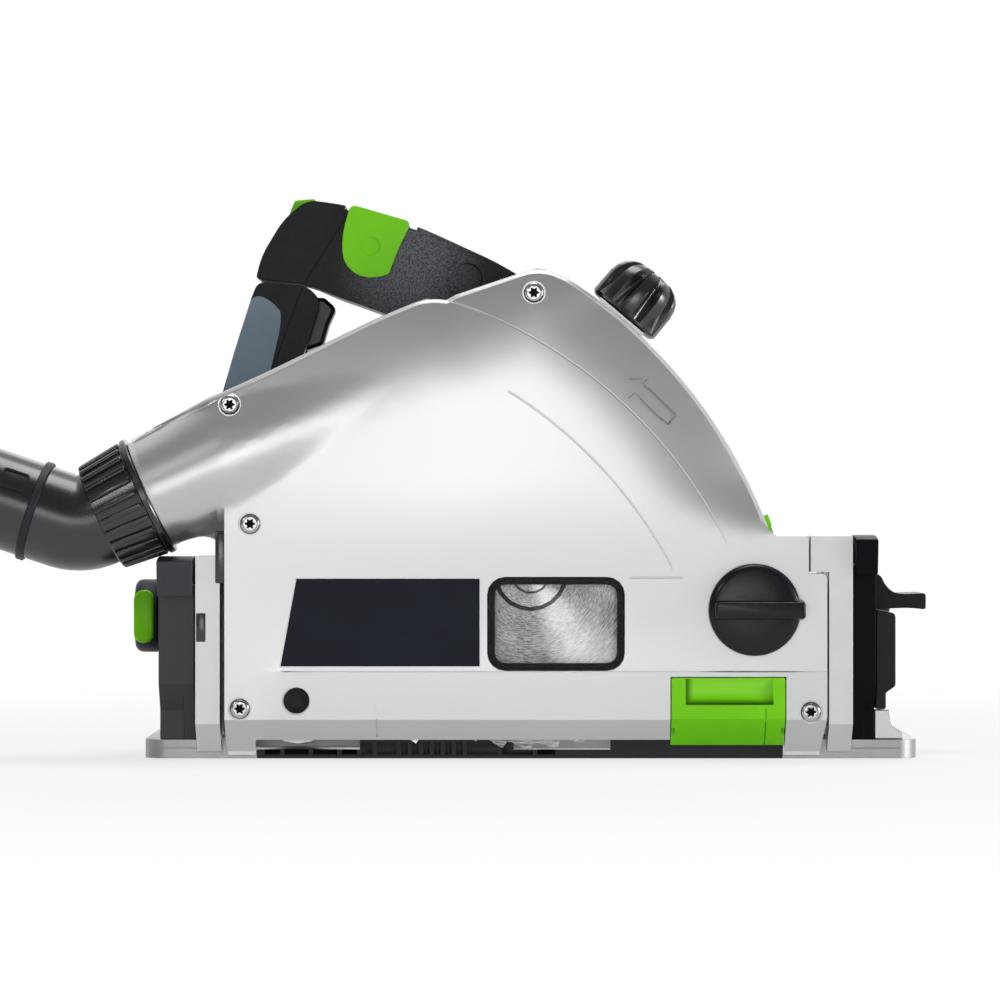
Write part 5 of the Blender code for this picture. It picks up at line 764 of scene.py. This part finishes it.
class SAW_OT_cover_trim(bpy.types.Operator):
    """Raised arrow, window frame and the black seals beside the cover"""
    bl_idname = "saw.cover_trim"
    bl_label = "Cover trim"

    def execute(self, context):
        sizes = context.scene.saw_sizes
        rolled = rolled_edge()
        arrow = hoop([(44.1, 172.4, 0), (53.0, 172.4, 0), (50.6, 169.6, 0), (65.6, 155.2, 0),
                      (61.8, 151.2, 0),
                      (46.9, 165.7, 0), (44.1, 163.2, 0)], 0, 0.45 * MM)
        bmesh.ops.subdivide_edges(arrow, edges=arrow.edges[:], cuts=3)
        bmesh.ops.solidify(arrow, geom=arrow.faces[:], thickness=0.9 * MM)
        top = min(v.co.y for v in arrow.verts)
        for vert in arrow.verts:
            skin = at_depth(cover_height(vert.co.x, vert.co.z, COVER_FACE, sizes, rolled))
            vert.co.y = skin + (-0.42 * MM if vert.co.y < top + 0.4 * MM else 0.5 * MM)
        # painted shade: the raised arrow gets a darker alloy finish, standing in for the shade along its
        # raised edges
        piece(outward(arrow), "turning_arrow", "alloy_dark", "tilt_frame")

        rim = hoop([(-19.6, 40.7, 8), (42.0, 40.7, 8), (42.0, 82.7, 8), (-19.6, 82.7, 8)], -16.8 * MM,
                   3.3 * MM)
        raised(rim, (0, 1.2 * MM, 0))
        soften(outward(rim), 0.3 * MM, 2, 60)
        piece(rim, "window_frame", "deep_cast", "tilt_frame")
        tunnel = hoop([(-18.4, 42.0, 6), (40.4, 42.0, 6), (40.4, 81.2, 6), (-18.4, 81.2, 6)], -13.8 * MM,
                      1.2 * MM)
        raised(tunnel, (0, 7.5 * MM, 0))
        piece(outward(tunnel), "window_tunnel", "deep_cast", "tilt_frame")
        for name, x0, x1, v0, v1, z0, z1 in (
            ("rear_seal", -142.2, -137.8, -17.25, -14.0, 80, 103.6),
            ("clamp_nut", -151.0, -146.6, -15.4, -12.0, 53.5, 66.5),
        ):
            seal = block(x0 * MM, x1 * MM, v0 * MM, v1 * MM, z0 * MM, z1 * MM)
            soften(seal, 0.5 * MM, 2)
            piece(seal, name, "gloss_black", "tilt_frame")
        return {"FINISHED"}


class SAW_OT_guard(bpy.types.Operator):
    """Splinter guard with its thumb recess"""
    bl_idname = "saw.guard"
    bl_label = "Splinter guard"

    def execute(self, context):
        plate = slab([(63.2, 6.5, 0), (114.4, 6.5, 0), (114.4, 37.4, 0.8), (63.2, 37.4, 0.8)], -17.4 * MM,
                     -2.2 * MM)
        below_bevel(plate, 0, 1.5 * MM)
        scoop = peg(8.6, 39.2, (69.7 * MM, at_depth(-23.8 * MM), 31.2 * MM), ALONG_X, 72)
        groove = tilted(block(105.3 * MM, 106.0 * MM, -11.8 * MM, -10.1 * MM, 4 * MM, 20.4 * MM),
                        -11 * MM, 12.5 * MM, 45)
        plate = carved(plate, [
            block(60 * MM, 118 * MM, -14.2 * MM, 0, 18 * MM, 40 * MM),
            block(66.2 * MM, 111.4 * MM, -8 * MM, 0, 12 * MM, 30 * MM),
            scoop,
            block(105.3 * MM, 106.0 * MM, -19 * MM, -16.7 * MM, 17 * MM, 23.4 * MM),
            groove,
            block(60 * MM, 64.8 * MM, -19 * MM, -9.2 * MM, 10.6 * MM, 14.6 * MM),
            block(112.8 * MM, 118 * MM, -19 * MM, -9.2 * MM, 10.6 * MM, 14.6 * MM),
        ])
        soften(plate, 0.35 * MM, 2, 35)
        tongue = block(90.4 * MM, 110.4 * MM, -14.2 * MM, -12.6 * MM, 30 * MM, 80 * MM)
        tongue = carved(tongue, [peg(4.6, 6, (KNOB[0], at_depth(-16 * MM), KNOB[1] + 2 * MM), ACROSS, 32)])
        soften(tongue, 0.3 * MM, 1)
        piece(merged(plate, tongue), "guard_skin", "guard_green", "guard",
              ("splinter_guard",),
              weigh=True)
        return {"FINISHED"}


class SAW_OT_knobs(bpy.types.Operator):
    """Guard knob and the two clamp knobs of the tilt"""
    bl_idname = "saw.knobs"
    bl_label = "Knobs"

    def execute(self, context):
        face = at_depth(-17.3 * MM)
        disc = turned([(0, 0), (0, 19.8), (0.7, 20.7), (4.2, 20.7), (5.6, 20.3), (6.5, 19.2), (7.0, 17.5),
                       (7.4, 9),
                       (7.5, 0)], (KNOB[0], face, KNOB[1]), TOWARDS, 96)
        x, z = KNOB[0] / MM, KNOB[1] / MM
        bar = bmesh.new()
        flat_shape(bar, [(x - 18.3, z - 4.6, 2.2), (x + 22.5, z - 4.6, 1.5), (x + 22.5, z + 4.6, 1.5),
                         (x - 18.3, z + 4.6, 2.2)], -20 * MM)
        top = raised(bar, (0, -12 * MM, 0))
        bmesh.ops.scale(bar, verts=top, vec=(0.985, 1, 0.8),
                        space=Matrix.Translation((-KNOB[0], 0, -KNOB[1])))
        soften(outward(bar), 0.9 * MM, 3, 50)
        piece(merged(disc, bar), "guard_knob_skin", "knob_black", "guard_knob",
              ("splinter_knob",))

        rear = Vector((-168.0 * MM, at_depth(54.68 * MM), 63.5 * MM))
        cup = turned([(0, 0), (0, 9), (2, 9.6), (3.6, 13), (5, 16.4), (6, 17), (12.5, 17), (14.5, 16.4),
                      (15.6, 15),
                      (15.7, 11), (13.5, 10), (13.5, 0)], rear, (-1, 0, 0), 72)
        piece(cup, "rear_clamp_cup", "dark_plastic", "rear_clamp", ("bevel_knob_rear",))
        grip = bmesh.new()
        flat_shape(grip, [(-183.6, 51.2, 4.4), (-174.4, 51.2, 4.4), (-174.4, 75.8, 4.4),
                          (-183.6, 75.8, 4.4)], 54.68 * MM)
        bmesh.ops.translate(grip, verts=grip.verts, vec=(0, -18.4 * MM, 0))
        raised(grip, (0, 36.8 * MM, 0))
        soften(outward(grip), 1.4 * MM, 3, 50)
        piece(grip, "rear_clamp_grip", "green_plastic", "rear_clamp", ("bevel_knob_rear",))

        front = Vector((156.5 * MM, at_depth(61.83 * MM), 70 * MM))
        flare = turned([(0, 0), (0, 16), (0.8, 17), (2.4, 16.8), (4, 15), (5.6, 12), (7.4, 9), (9.4, 6.8),
                        (11.4, 5.6),
                        (12, 4.6), (12, 0)], front, ALONG_X, 72)
        wing = slab([(158.5, 83.5, 0), (162.7, 83.5, 3), (165.4, 76.4, 4), (171, 73.6, 5), (183.8, 74.2, 1.2),
                     (183.8, 66.6, 1.2), (176, 67.4, 3), (165, 67.0, 0), (158.5, 65.5, 0)], 43.2 * MM,
                     80.5 * MM)
        soften(wing, 1.2 * MM, 3, 50)
        piece(merged(flare, wing), "front_clamp_skin", "black_plastic", "front_clamp",
              ("bevel_knob_front",))
        return {"FINISHED"}


class SAW_OT_handle(bpy.types.Operator):
    """D-handle: cap and beam, round grip, soft panels, saddle button"""
    bl_idname = "saw.handle"
    bl_label = "Handle"

    def execute(self, context):
        near, far = HANDLE_V - HANDLE_HALF, HANDLE_V + HANDLE_HALF

        def at(vert, depth):
            return abs(vert.co.y - BLADE_Y - depth) < 1e-5

        upper = slab([
            (-127.6, 220.2, 2), (-124.9, 231, 5), (-114.5, 248.4, 6), (-103.4, 257.0, 4), (-81.3, 254.2, 14),
            (-55.6, 246.4, 14), (-7.9, 224.5, 14), (14, 208, 14), (24, 175, 14), (20, 112, 0), (-45, 104, 0),
            (-50, 144.6, 0), (-12, 148.4, 6), (-8, 176, 10), (-30, 190, 12), (-69.6, 205, 10),
            (-88.5, 211.5, 4),
            (-104.3, 218.3, 6)], near, far)
        motor, motor_again = (peg(36.2, 120, (MOTOR[0], at_depth(20 * MM), MOTOR[1]), ACROSS, 96)
                              for _index in range(2))
        trench = nodding(block(-87 * MM, -52 * MM, near - 1 * MM, far + 1 * MM, 248 * MM, 262 * MM),
                         -70 * MM, 248 * MM, 16)
        lever_room = block(-122 * MM, -93.6 * MM, HANDLE_V - 4.8 * MM, HANDLE_V + 4.8 * MM, 243.5 * MM,
                           265 * MM)
        upper = carved(upper, [motor, trench, lever_room])
        soften(upper, 3.2 * MM, 4, 50, lambda e: all(at(v, near) or at(v, far) for v in e.verts)
               and min(v.co.z for v in e.verts) > 139 * MM)
        boss = turned([(0, 0), (0, 9.4), (0.5, 9.4), (0.9, 9), (0.9, 7.2), (0.2, 6.6), (-1, 6.4), (-1, 0)],
                      (-29.3 * MM, at_depth(near) + 0.1 * MM, 220.5 * MM), TOWARDS, 48)
        piece(merged(upper, boss), "handle_upper", "handle_black", "head",
              ("handle_left", "handle_right"), weigh=True)
        grip = slab([
            (-126.6, 218.9, 3), (-104.6, 217.2, 3), (-97.2, 211.2, 5), (-104.2, 188, 8), (-113, 165, 12),
            (-112, 150, 10),
            (-60, 144, 12), (-50, 144.4, 0), (-45, 104.4, 0), (-62, 110, 0), (-112, 124, 12), (-146, 133, 12),
            (-146.5, 155, 12), (-136.6, 190.3, 30), (-129.4, 212, 10)], near, far)
        inlet_way = Vector((-0.94, 0, -0.34))
        inlet = peg(13.4, 50, Vector((-146 * MM, -29.25 * MM, 143.5 * MM)) - inlet_way * 6 * MM, inlet_way,
                    40)
        pull, *pad_rooms = (block(-119.8 * MM, -90 * MM, HANDLE_V - 8.5 * MM, HANDLE_V + 8.5 * MM,
                                  185.4 * MM, 214.4 * MM)
                            for _index in range(3))
        soften(grip, 8.6 * MM, 6, 50, lambda e: any(all(at(v, side) for v in e.verts)
                                                    for side in (near, far)))
        grip = carved(grip, [inlet, pull, motor_again])
        piece(grip, "handle_grip", "handle_black", "head", ("handle_left", "handle_right"),
              weigh=True)
        for name, node, sign in (("grip_pad_near", "grip_panel_left", -1),
                                 ("grip_pad_far", "grip_panel_right", 1)):
            skin = HANDLE_V + sign * (HANDLE_HALF + 0.25 * MM)
            pad = slab([(-129.2, 212.4, 3), (-121, 212.0, 8), (-115, 203.5, 9), (-117.8, 190, 6),
                        (-125.5, 158, 10),
                        (-143.2, 153, 8), (-143.0, 167, 14), (-136.6, 190.3, 30)], HANDLE_V + sign * 4 * MM,
                        skin)
            soften(pad, 8.4 * MM, 6, 50, lambda e, skin=skin: all(at(v, skin) for v in e.verts)
                   and max(v.co.x for v in e.verts) < -126 * MM)
            pad = carved(pad, [pad_rooms.pop()])
            piece(pad, name, "soft_grip", "head", (node,), weigh=True)
        outside = HANDLE_HALF + 2.1 * MM
        saddle = slab([(-83.5, 254.9, 3), (-55.0, 246.7, 3), (-63.0, 231, 8), (-66, 220.8, 9),
                       (-84, 220.8, 9),
                       (-88.6, 236, 10)], HANDLE_V - outside, HANDLE_V + outside)
        hollow = nodding(block(-100 * MM, -40 * MM, near - 0.3 * MM, far + 0.3 * MM, 200 * MM, 251.6 * MM),
                         -69 * MM, 249 * MM, 16)
        dimples = [turned([(0, 0), (0, 3.4), (0.1, 4.2), (0.35, 4.8), (4, 5.2), (4, 0)],
                          (-74 * MM, at_depth(HANDLE_V + side * (outside - 0.35 * MM)), 235.4 * MM),
                          (0, side, 0), 40)
                   for side in (-1, 1)]
        saddle = carved(saddle, [hollow, *dimples])
        soften(saddle, 0.9 * MM, 3, 50)
        piece(saddle, "saddle_button", "green_plastic", "button", ("plunge_button",),
              weigh=True)
        return {"FINISHED"}


class SAW_OT_stage(bpy.types.Operator):
    """Pale floor, soft lights and the camera"""
    bl_idname = "saw.stage"
    bl_label = "Stage"

    def execute(self, context):
        scene = context.scene
        scene.view_settings.view_transform = "Standard"
        bm = bmesh.new()
        bmesh.ops.create_grid(bm, x_segments=1, y_segments=1, size=20.0)
        mesh = bpy.data.meshes.new("floor")
        bm.to_mesh(mesh)
        bm.free()
        mesh.transform(Matrix.Translation((0, 0, -0.0002)))
        floor = bpy.data.objects.new("floor", mesh)
        scene.collection.objects.link(floor)
        paper = Finish("floor_paper", scene.saw_colours.floor, 0.95, Specular_IOR_Level=0.1)
        seen = paper.node("ShaderNodeLightPath", {}, out="Is Camera Ray")
        x, y, _z = paper.axes()
        away = (x * x + y * y).root().ramp(0.2, 0.7, 0.7, 1.0)
        paper.feed(Base_Color=paper.mix(seen, paper.colour, (1.0, 1.0, 1.0, 1.0)))
        glow = paper.node("ShaderNodeEmission", {}, Color=(1, 1, 1, 1), Strength=1.0)
        lit = Value(paper, paper.shader.outputs[0])
        mirrored = paper.node("ShaderNodeLightPath", {}, out="Is Glossy Ray")
        shown = paper.node("ShaderNodeMixShader", {}, (seen * away).most(mirrored * 0.68), lit, glow)
        paper.tree.links.new(shown.socket, paper.tree.nodes["Material Output"].inputs["Surface"])
        mesh.materials.append(paper.material)

        world = scene.world or bpy.data.worlds.new("studio")
        scene.world = world
        world.use_nodes = True
        tree = world.node_tree
        tree.nodes.clear()
        # the camera sees white; gloss and glass see that white behind the saw, and a dimmer room elsewhere
        def node(kind, links=(), **settings):
            made = tree.nodes.new(kind)
            for key, value in settings.items():
                setattr(made, key, value)
            for index, source in enumerate(links):
                if isinstance(source, bpy.types.NodeSocket):
                    tree.links.new(source, made.inputs[index])
                elif source is not None:
                    made.inputs[index].default_value = source
            return made

        rays = node("ShaderNodeLightPath")
        way = node("ShaderNodeSeparateXYZ", (node("ShaderNodeTexCoord").outputs["Generated"],))
        behind = node("ShaderNodeMapRange", (way.outputs["Y"], -0.15, 0.35, 0.0, 1.0))
        above = node("ShaderNodeMapRange", (way.outputs["Z"], 0.0, 0.9, 0.11, 0.24))
        mirror = node("ShaderNodeMath", (rays.outputs["Is Glossy Ray"], rays.outputs["Is Transmission Ray"]),
                      operation="MAXIMUM")
        mirror = node("ShaderNodeMath", (mirror.outputs[0], behind.outputs[0]), operation="MULTIPLY")
        shown = node("ShaderNodeMath", (mirror.outputs[0], rays.outputs["Is Camera Ray"]),
                     operation="MAXIMUM")
        room = node("ShaderNodeBackground", ((1, 1, 1, 1), above.outputs[0]))
        white = node("ShaderNodeBackground", ((1, 1, 1, 1), 1.0))
        both = node("ShaderNodeMixShader", (shown.outputs[0], room.outputs[0], white.outputs[0]))
        node("ShaderNodeOutputWorld", (both.outputs[0],))

        for name, spot, aim, size, power in (
            ("key", (-0.9, -1.3, 0.7), (0, -0.1, 0.1), 0.2, 2),
            ("front", (-0.1, -2.3, 0.14), (-0.02, -0.1, 0.12), 0.8, 8.6),
            ("fill", (1.2, -1.1, 0.25), (0, -0.1, 0.1), 0.5, 1.6),
            ("side", (1.7, -0.65, 0.3), (0, 0, 0.15), 0.45, 16),
            ("top", (0.0, 0.1, 1.7), (0, 0, 0.1), 0.9, 13),
            ("back", (0.3, 1.8, 0.9), (0, 0, 0.1), 1.2, 6),
        ):
            lamp = bpy.data.lights.new(name, "AREA")
            lamp.energy = power
            lamp.size = size
            holder = bpy.data.objects.new(name, lamp)
            holder.location = spot
            holder.rotation_euler = (Vector(aim) - Vector(spot)).to_track_quat("-Z", "Y").to_euler()
            scene.collection.objects.link(holder)

        lens = bpy.data.cameras.new("camera")
        lens.lens = 150
        lens.sensor_width = 36
        lens.clip_end = 60
        camera = bpy.data.objects.new("camera", lens)
        camera.location = (-14 * MM, BLADE_Y - 1.892, 117.45 * MM)
        camera.rotation_euler = (math.pi / 2, 0, 0)
        scene.collection.objects.link(camera)
        scene.camera = camera
        return {"FINISHED"}


class SAW_OT_finishes(bpy.types.Operator):
    """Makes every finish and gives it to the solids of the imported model"""
    bl_idname = "saw.finishes"
    bl_label = "Finishes"

    def execute(self, context):
        make_finishes(context.scene.saw_colours)
        slots = {part["node"]: part["material_slot"] for part in frame["record"]["subparts"]}
        for node, obj in frame["nodes"].items():
            finish = {"blade": "blade_steel", "inner_flange": "blade_steel", "outer_flange": "blade_steel",
                      "blade_screw": "blade_steel"}.get(node, slots[node])
            material = FINISHES[finish].material
            if not obj.material_slots:
                obj.data.materials.append(material)
            for slot in obj.material_slots:
                slot.material = material
        return {"FINISHED"}


SKINS = (
    ("base", "alloy", "alloy", 0.5, ("front_bracket",)),
    ("base", "dark_cast", "dark_cast", 0.7, ("bevel_segment_rear",)),
    ("base", "deep_cast", "dark_cast", 0.7, ("bevel_segment_front",)),
    ("base", "black_plastic", "black_plastic", 0.7, ("tilt_stop_block",)),
    ("tilt_frame", "alloy", "alloy", 0.6, ("inner_housing",)),
    ("tilt_frame", "label_black", "label_black", 0.2, ("label_plate",)),
    ("head", "alloy_dark", "alloy_dark", 0.8, ("gear_case",)),
    ("head", "black_plastic", "black_plastic", 0.5, ("motor_housing", "power_inlet")),
    ("head", "dark_plastic", "dark_plastic", 0.6, ("motor_end_cap",)),
    ("stop", "green_plastic", "green_plastic", 0.5, ("depth_stop",)),
    ("trigger_body", "knob_black", "dark_plastic", 1.6, ("trigger",)),
    ("lever", "green_plastic", "green_plastic", 0.5, ("change_lever",)),
    ("dial", "green_plastic", "green_plastic", 0.4, ("speed_dial",)),
    ("jaw_rear", "black_plastic", "black_plastic", 0.4, ("rail_jaw_rear",)),
    ("jaw_front", "black_plastic", "black_plastic", 0.4, ("rail_jaw_front",)),
)


class SAW_OT_sole(bpy.types.Operator):
    """Sole plate, with the groove and pockets in its edge beside the blade"""
    bl_idname = "saw.sole"
    bl_label = "Sole"

    def execute(self, context):
        sole = solid_copy("sole_plate")
        soften(sole, 0.5 * MM, 2, 32)
        cutters = [block(x0 * MM, x1 * MM, 1.5 * MM, 3.9 * MM, 4.4 * MM, 5.2 * MM)
                   for x0, x1 in ((-168, -140), (138, 168))]
        start = -121.0
        for width in (9, 13, 13, 9, 7, 11, 5, 5, 5, 5, 5, 5, 16, 16, 10):
            cutters.append(block(start * MM, (start + width - 2) * MM, 1.5 * MM, 4.3 * MM, 1.6 * MM,
                                 7.2 * MM))
            start += width
        piece(carved(sole, cutters), "sole_skin", "sole_alloy", "base", ("sole_plate",), weigh=True)
        return {"FINISHED"}


class SAW_OT_skins(bpy.types.Operator):
    """Breaks the edges of the solids whose own shape is kept"""
    bl_idname = "saw.skins"
    bl_label = "Skins"

    def execute(self, context):
        for body, finish, slot, width, nodes in SKINS:
            for node in nodes:
                dressed(node, finish, body, width * MM)
        return {"FINISHED"}


class SAW_OT_dust_outlet(bpy.types.Operator):
    """Ribbed collar, glossy elbow and clip ring of the dust outlet"""
    bl_idname = "saw.dust_outlet"
    bl_label = "Dust outlet"

    def execute(self, context):
        ribs = context.scene.saw_sizes.collar_ribs
        start = PORT + PORT_OUT * 3.8 * MM
        collar = turned([(0, 22.4), (0, 27.6), (0.5, 28), (2.6, 28), (3.1, 27.4), (3.3, 26.2), (24.6, 23.7),
                         (25, 23.2),
                         (25, 22.1), (11, 22.1), (11, 22.4), (0, 22.4)], start, PORT_OUT, 96)
        bars = []
        slope = math.atan2(2.5, 22)
        for k in range(ribs):
            bar = block(-10.4 * MM, 10.4 * MM, -1.3 * MM, 1.3 * MM, -1.2 * MM, 1.2 * MM)
            bmesh.ops.translate(bar, verts=bar.verts, vec=(0, -BLADE_Y, 0))
            soften(bar, 0.7 * MM, 3)
            angle = math.tau * k / ribs
            around = PORT_UP * math.cos(angle) + ACROSS * math.sin(angle)
            lay = (PORT_OUT - around * math.tan(slope)).normalized()
            side = lay.cross(around).normalized()
            turn = Matrix((lay, side, side.cross(lay) * -1)).transposed().to_4x4()
            middle = start + PORT_OUT * 14.2 * MM + around * 25.2 * MM
            bmesh.ops.transform(bar, matrix=Matrix.Translation(middle) @ turn, verts=bar.verts)
            bars.append(outward(bar))
        piece(merged(collar, *bars), "collar_ribbed", "gloss_black", "dust_outlet",
              ("dust_collar",))

        bend = math.radians(43.5)
        out_way = max((Matrix.Rotation(turn, 3, "Y") @ PORT_OUT for turn in (bend, -bend)),
                      key=lambda way: way.z)
        vertex = PORT + PORT_OUT * 38.3 * MM
        radius = 23.5 * MM
        inward = (out_way - PORT_OUT * out_way.dot(PORT_OUT)).normalized()
        bend_start = vertex - PORT_OUT * radius * math.tan(bend / 2)
        elbow = bmesh.new()
        hoops = bmesh.ops.create_circle(elbow, cap_ends=False, radius=21.8 * MM, segments=64)["verts"]
        turn = Vector((0, 0, 1)).rotation_difference(PORT_OUT).to_matrix().to_4x4()
        bmesh.ops.transform(elbow, matrix=Matrix.Translation(PORT + PORT_OUT * 17 * MM) @ turn, verts=hoops)

        def grow(edges, vec=None, spin=None):
            made = bmesh.ops.extrude_edge_only(elbow, edges=edges)["geom"]
            verts = [g for g in made if isinstance(g, bmesh.types.BMVert)]
            if vec is not None:
                bmesh.ops.translate(elbow, verts=verts, vec=vec)
            if spin is not None:
                bmesh.ops.rotate(elbow, verts=verts, cent=spin[0], matrix=spin[1])
            return [g for g in made if isinstance(g, bmesh.types.BMEdge)]

        edges = grow(elbow.edges[:], bend_start - (PORT + PORT_OUT * 17 * MM))
        steps = 12
        axis = PORT_OUT.cross(inward).normalized()
        for _step in range(steps):
            edges = grow(edges, spin=(bend_start + inward * radius, Matrix.Rotation(bend / steps, 3, axis)))
        length = 47 * MM - radius * math.tan(bend / 2)
        edges = grow(edges, out_way * length)
        bmesh.ops.recalc_face_normals(elbow, faces=elbow.faces)
        bmesh.ops.solidify(elbow, geom=elbow.faces[:], thickness=2.6 * MM)
        piece(outward(elbow), "elbow_tube", "gloss_black", "dust_outlet", ("dust_elbow",))
        tab = slab([(-6, -5, 1.2), (6, -5, 1.2), (6, 5, 1.2), (-6, 5, 1.2)], 0, 2 * MM)
        tab = carved(tab, [slab([(-5, -4, 0.8), (5, -4, 0.8), (5, 4, 0.8), (-5, 4, 0.8)], -3 * MM, 1.4 * MM)])
        bmesh.ops.translate(tab, verts=tab.verts, vec=(0, -BLADE_Y, 0))
        over = out_way.cross(ACROSS).normalized()
        over = over if over.z > 0 else -over
        lean = (over * 0.5 - ACROSS * 0.866).normalized()
        turn = Matrix((out_way, -lean, -lean.cross(out_way))).transposed().to_4x4()
        middle = vertex + out_way * 34 * MM + lean * 22.0 * MM
        bmesh.ops.transform(tab, matrix=Matrix.Translation(middle) @ turn, verts=tab.verts)
        piece(outward(tab), "elbow_frame", "gloss_black", "dust_outlet")
        clip = turned([(-1.9, 21.9), (-1.9, 22.6), (-1.4, 23.3), (1.4, 23.3), (1.9, 22.6), (1.9, 21.9),
                       (-1.9, 21.9)],
                      vertex + out_way * 22.4 * MM, out_way, 72)
        piece(clip, "clip_ring_round", "dark_plastic", "dust_outlet", ("dust_clip_ring",))
        return {"FINISHED"}


class SAW_OT_front_handle(bpy.types.Operator):
    """Fluted front knob"""
    bl_idname = "saw.front_handle"
    bl_label = "Front handle"

    def execute(self, context):
        flutes = context.scene.saw_sizes.knob_flutes
        way = Vector((math.cos(math.radians(49.8)), 0, math.sin(math.radians(49.8))))
        base = Vector((PIVOT[0], at_depth(20 * MM), PIVOT[1])) + way * 228.7 * MM
        knob = turned([(0, 0), (0, 16), (0.8, 17.2), (2, 18), (13, 18), (17, 17.2), (20, 15.8),
                       (22.6, 13.2), (24.2, 10),
                       (24.8, 6), (25, 0)], base, way, 144)
        side = Vector((-way.z, 0, way.x))
        for vert in knob.verts:
            rel = vert.co - base
            along = rel.dot(way)
            out = rel - way * along
            if out.length < 9 * MM or along < 2.5 * MM:
                continue
            angle = math.atan2(out.dot(ACROSS), out.dot(side))
            groove = max(0.0, math.cos(flutes * angle)) ** 0.7
            vert.co -= out.normalized() * groove * 4.2 * MM * smooth_step(along, 2.5 * MM, 5 * MM)
        piece(knob, "front_knob", "gloss_black", "tilt_frame", ("front_handle",), sharp=50)
        return {"FINISHED"}


PIECES = (SAW_OT_finishes, SAW_OT_cover, SAW_OT_cover_trim, SAW_OT_guard, SAW_OT_knobs, SAW_OT_handle,
          SAW_OT_sole, SAW_OT_skins, SAW_OT_dust_outlet, SAW_OT_front_handle, SAW_OT_stage)


class SAW_PT_panel(bpy.types.Panel):
    """Lists the pieces of the saw's looks"""
    bl_idname = "SAW_PT_panel"
    bl_label = "Plunge Saw"
    bl_space_type = "VIEW_3D"
    bl_region_type = "UI"
    bl_category = "Plunge Saw"

    def draw(self, context):
        for group in (context.scene.saw_sizes, context.scene.saw_colours):
            for name in group.__annotations__:
                self.layout.prop(group, name)
        for operator in PIECES:
            self.layout.operator(operator.bl_idname)


CLASSES = (SawSizes, SawColours, *PIECES, SAW_PT_panel)


def register():
    for cls in CLASSES:
        bpy.utils.register_class(cls)
    bpy.types.Scene.saw_sizes = bpy.props.PointerProperty(type=SawSizes)
    bpy.types.Scene.saw_colours = bpy.props.PointerProperty(type=SawColours)


def unregister():
    del bpy.types.Scene.saw_colours
    del bpy.types.Scene.saw_sizes
    for cls in reversed(CLASSES):
        bpy.utils.unregister_class(cls)


def main():
    register()
    for operator in PIECES:
        group, name = operator.bl_idname.split(".")
        getattr(getattr(bpy.ops, group), name)()


if __name__ == "__main__":
    main()
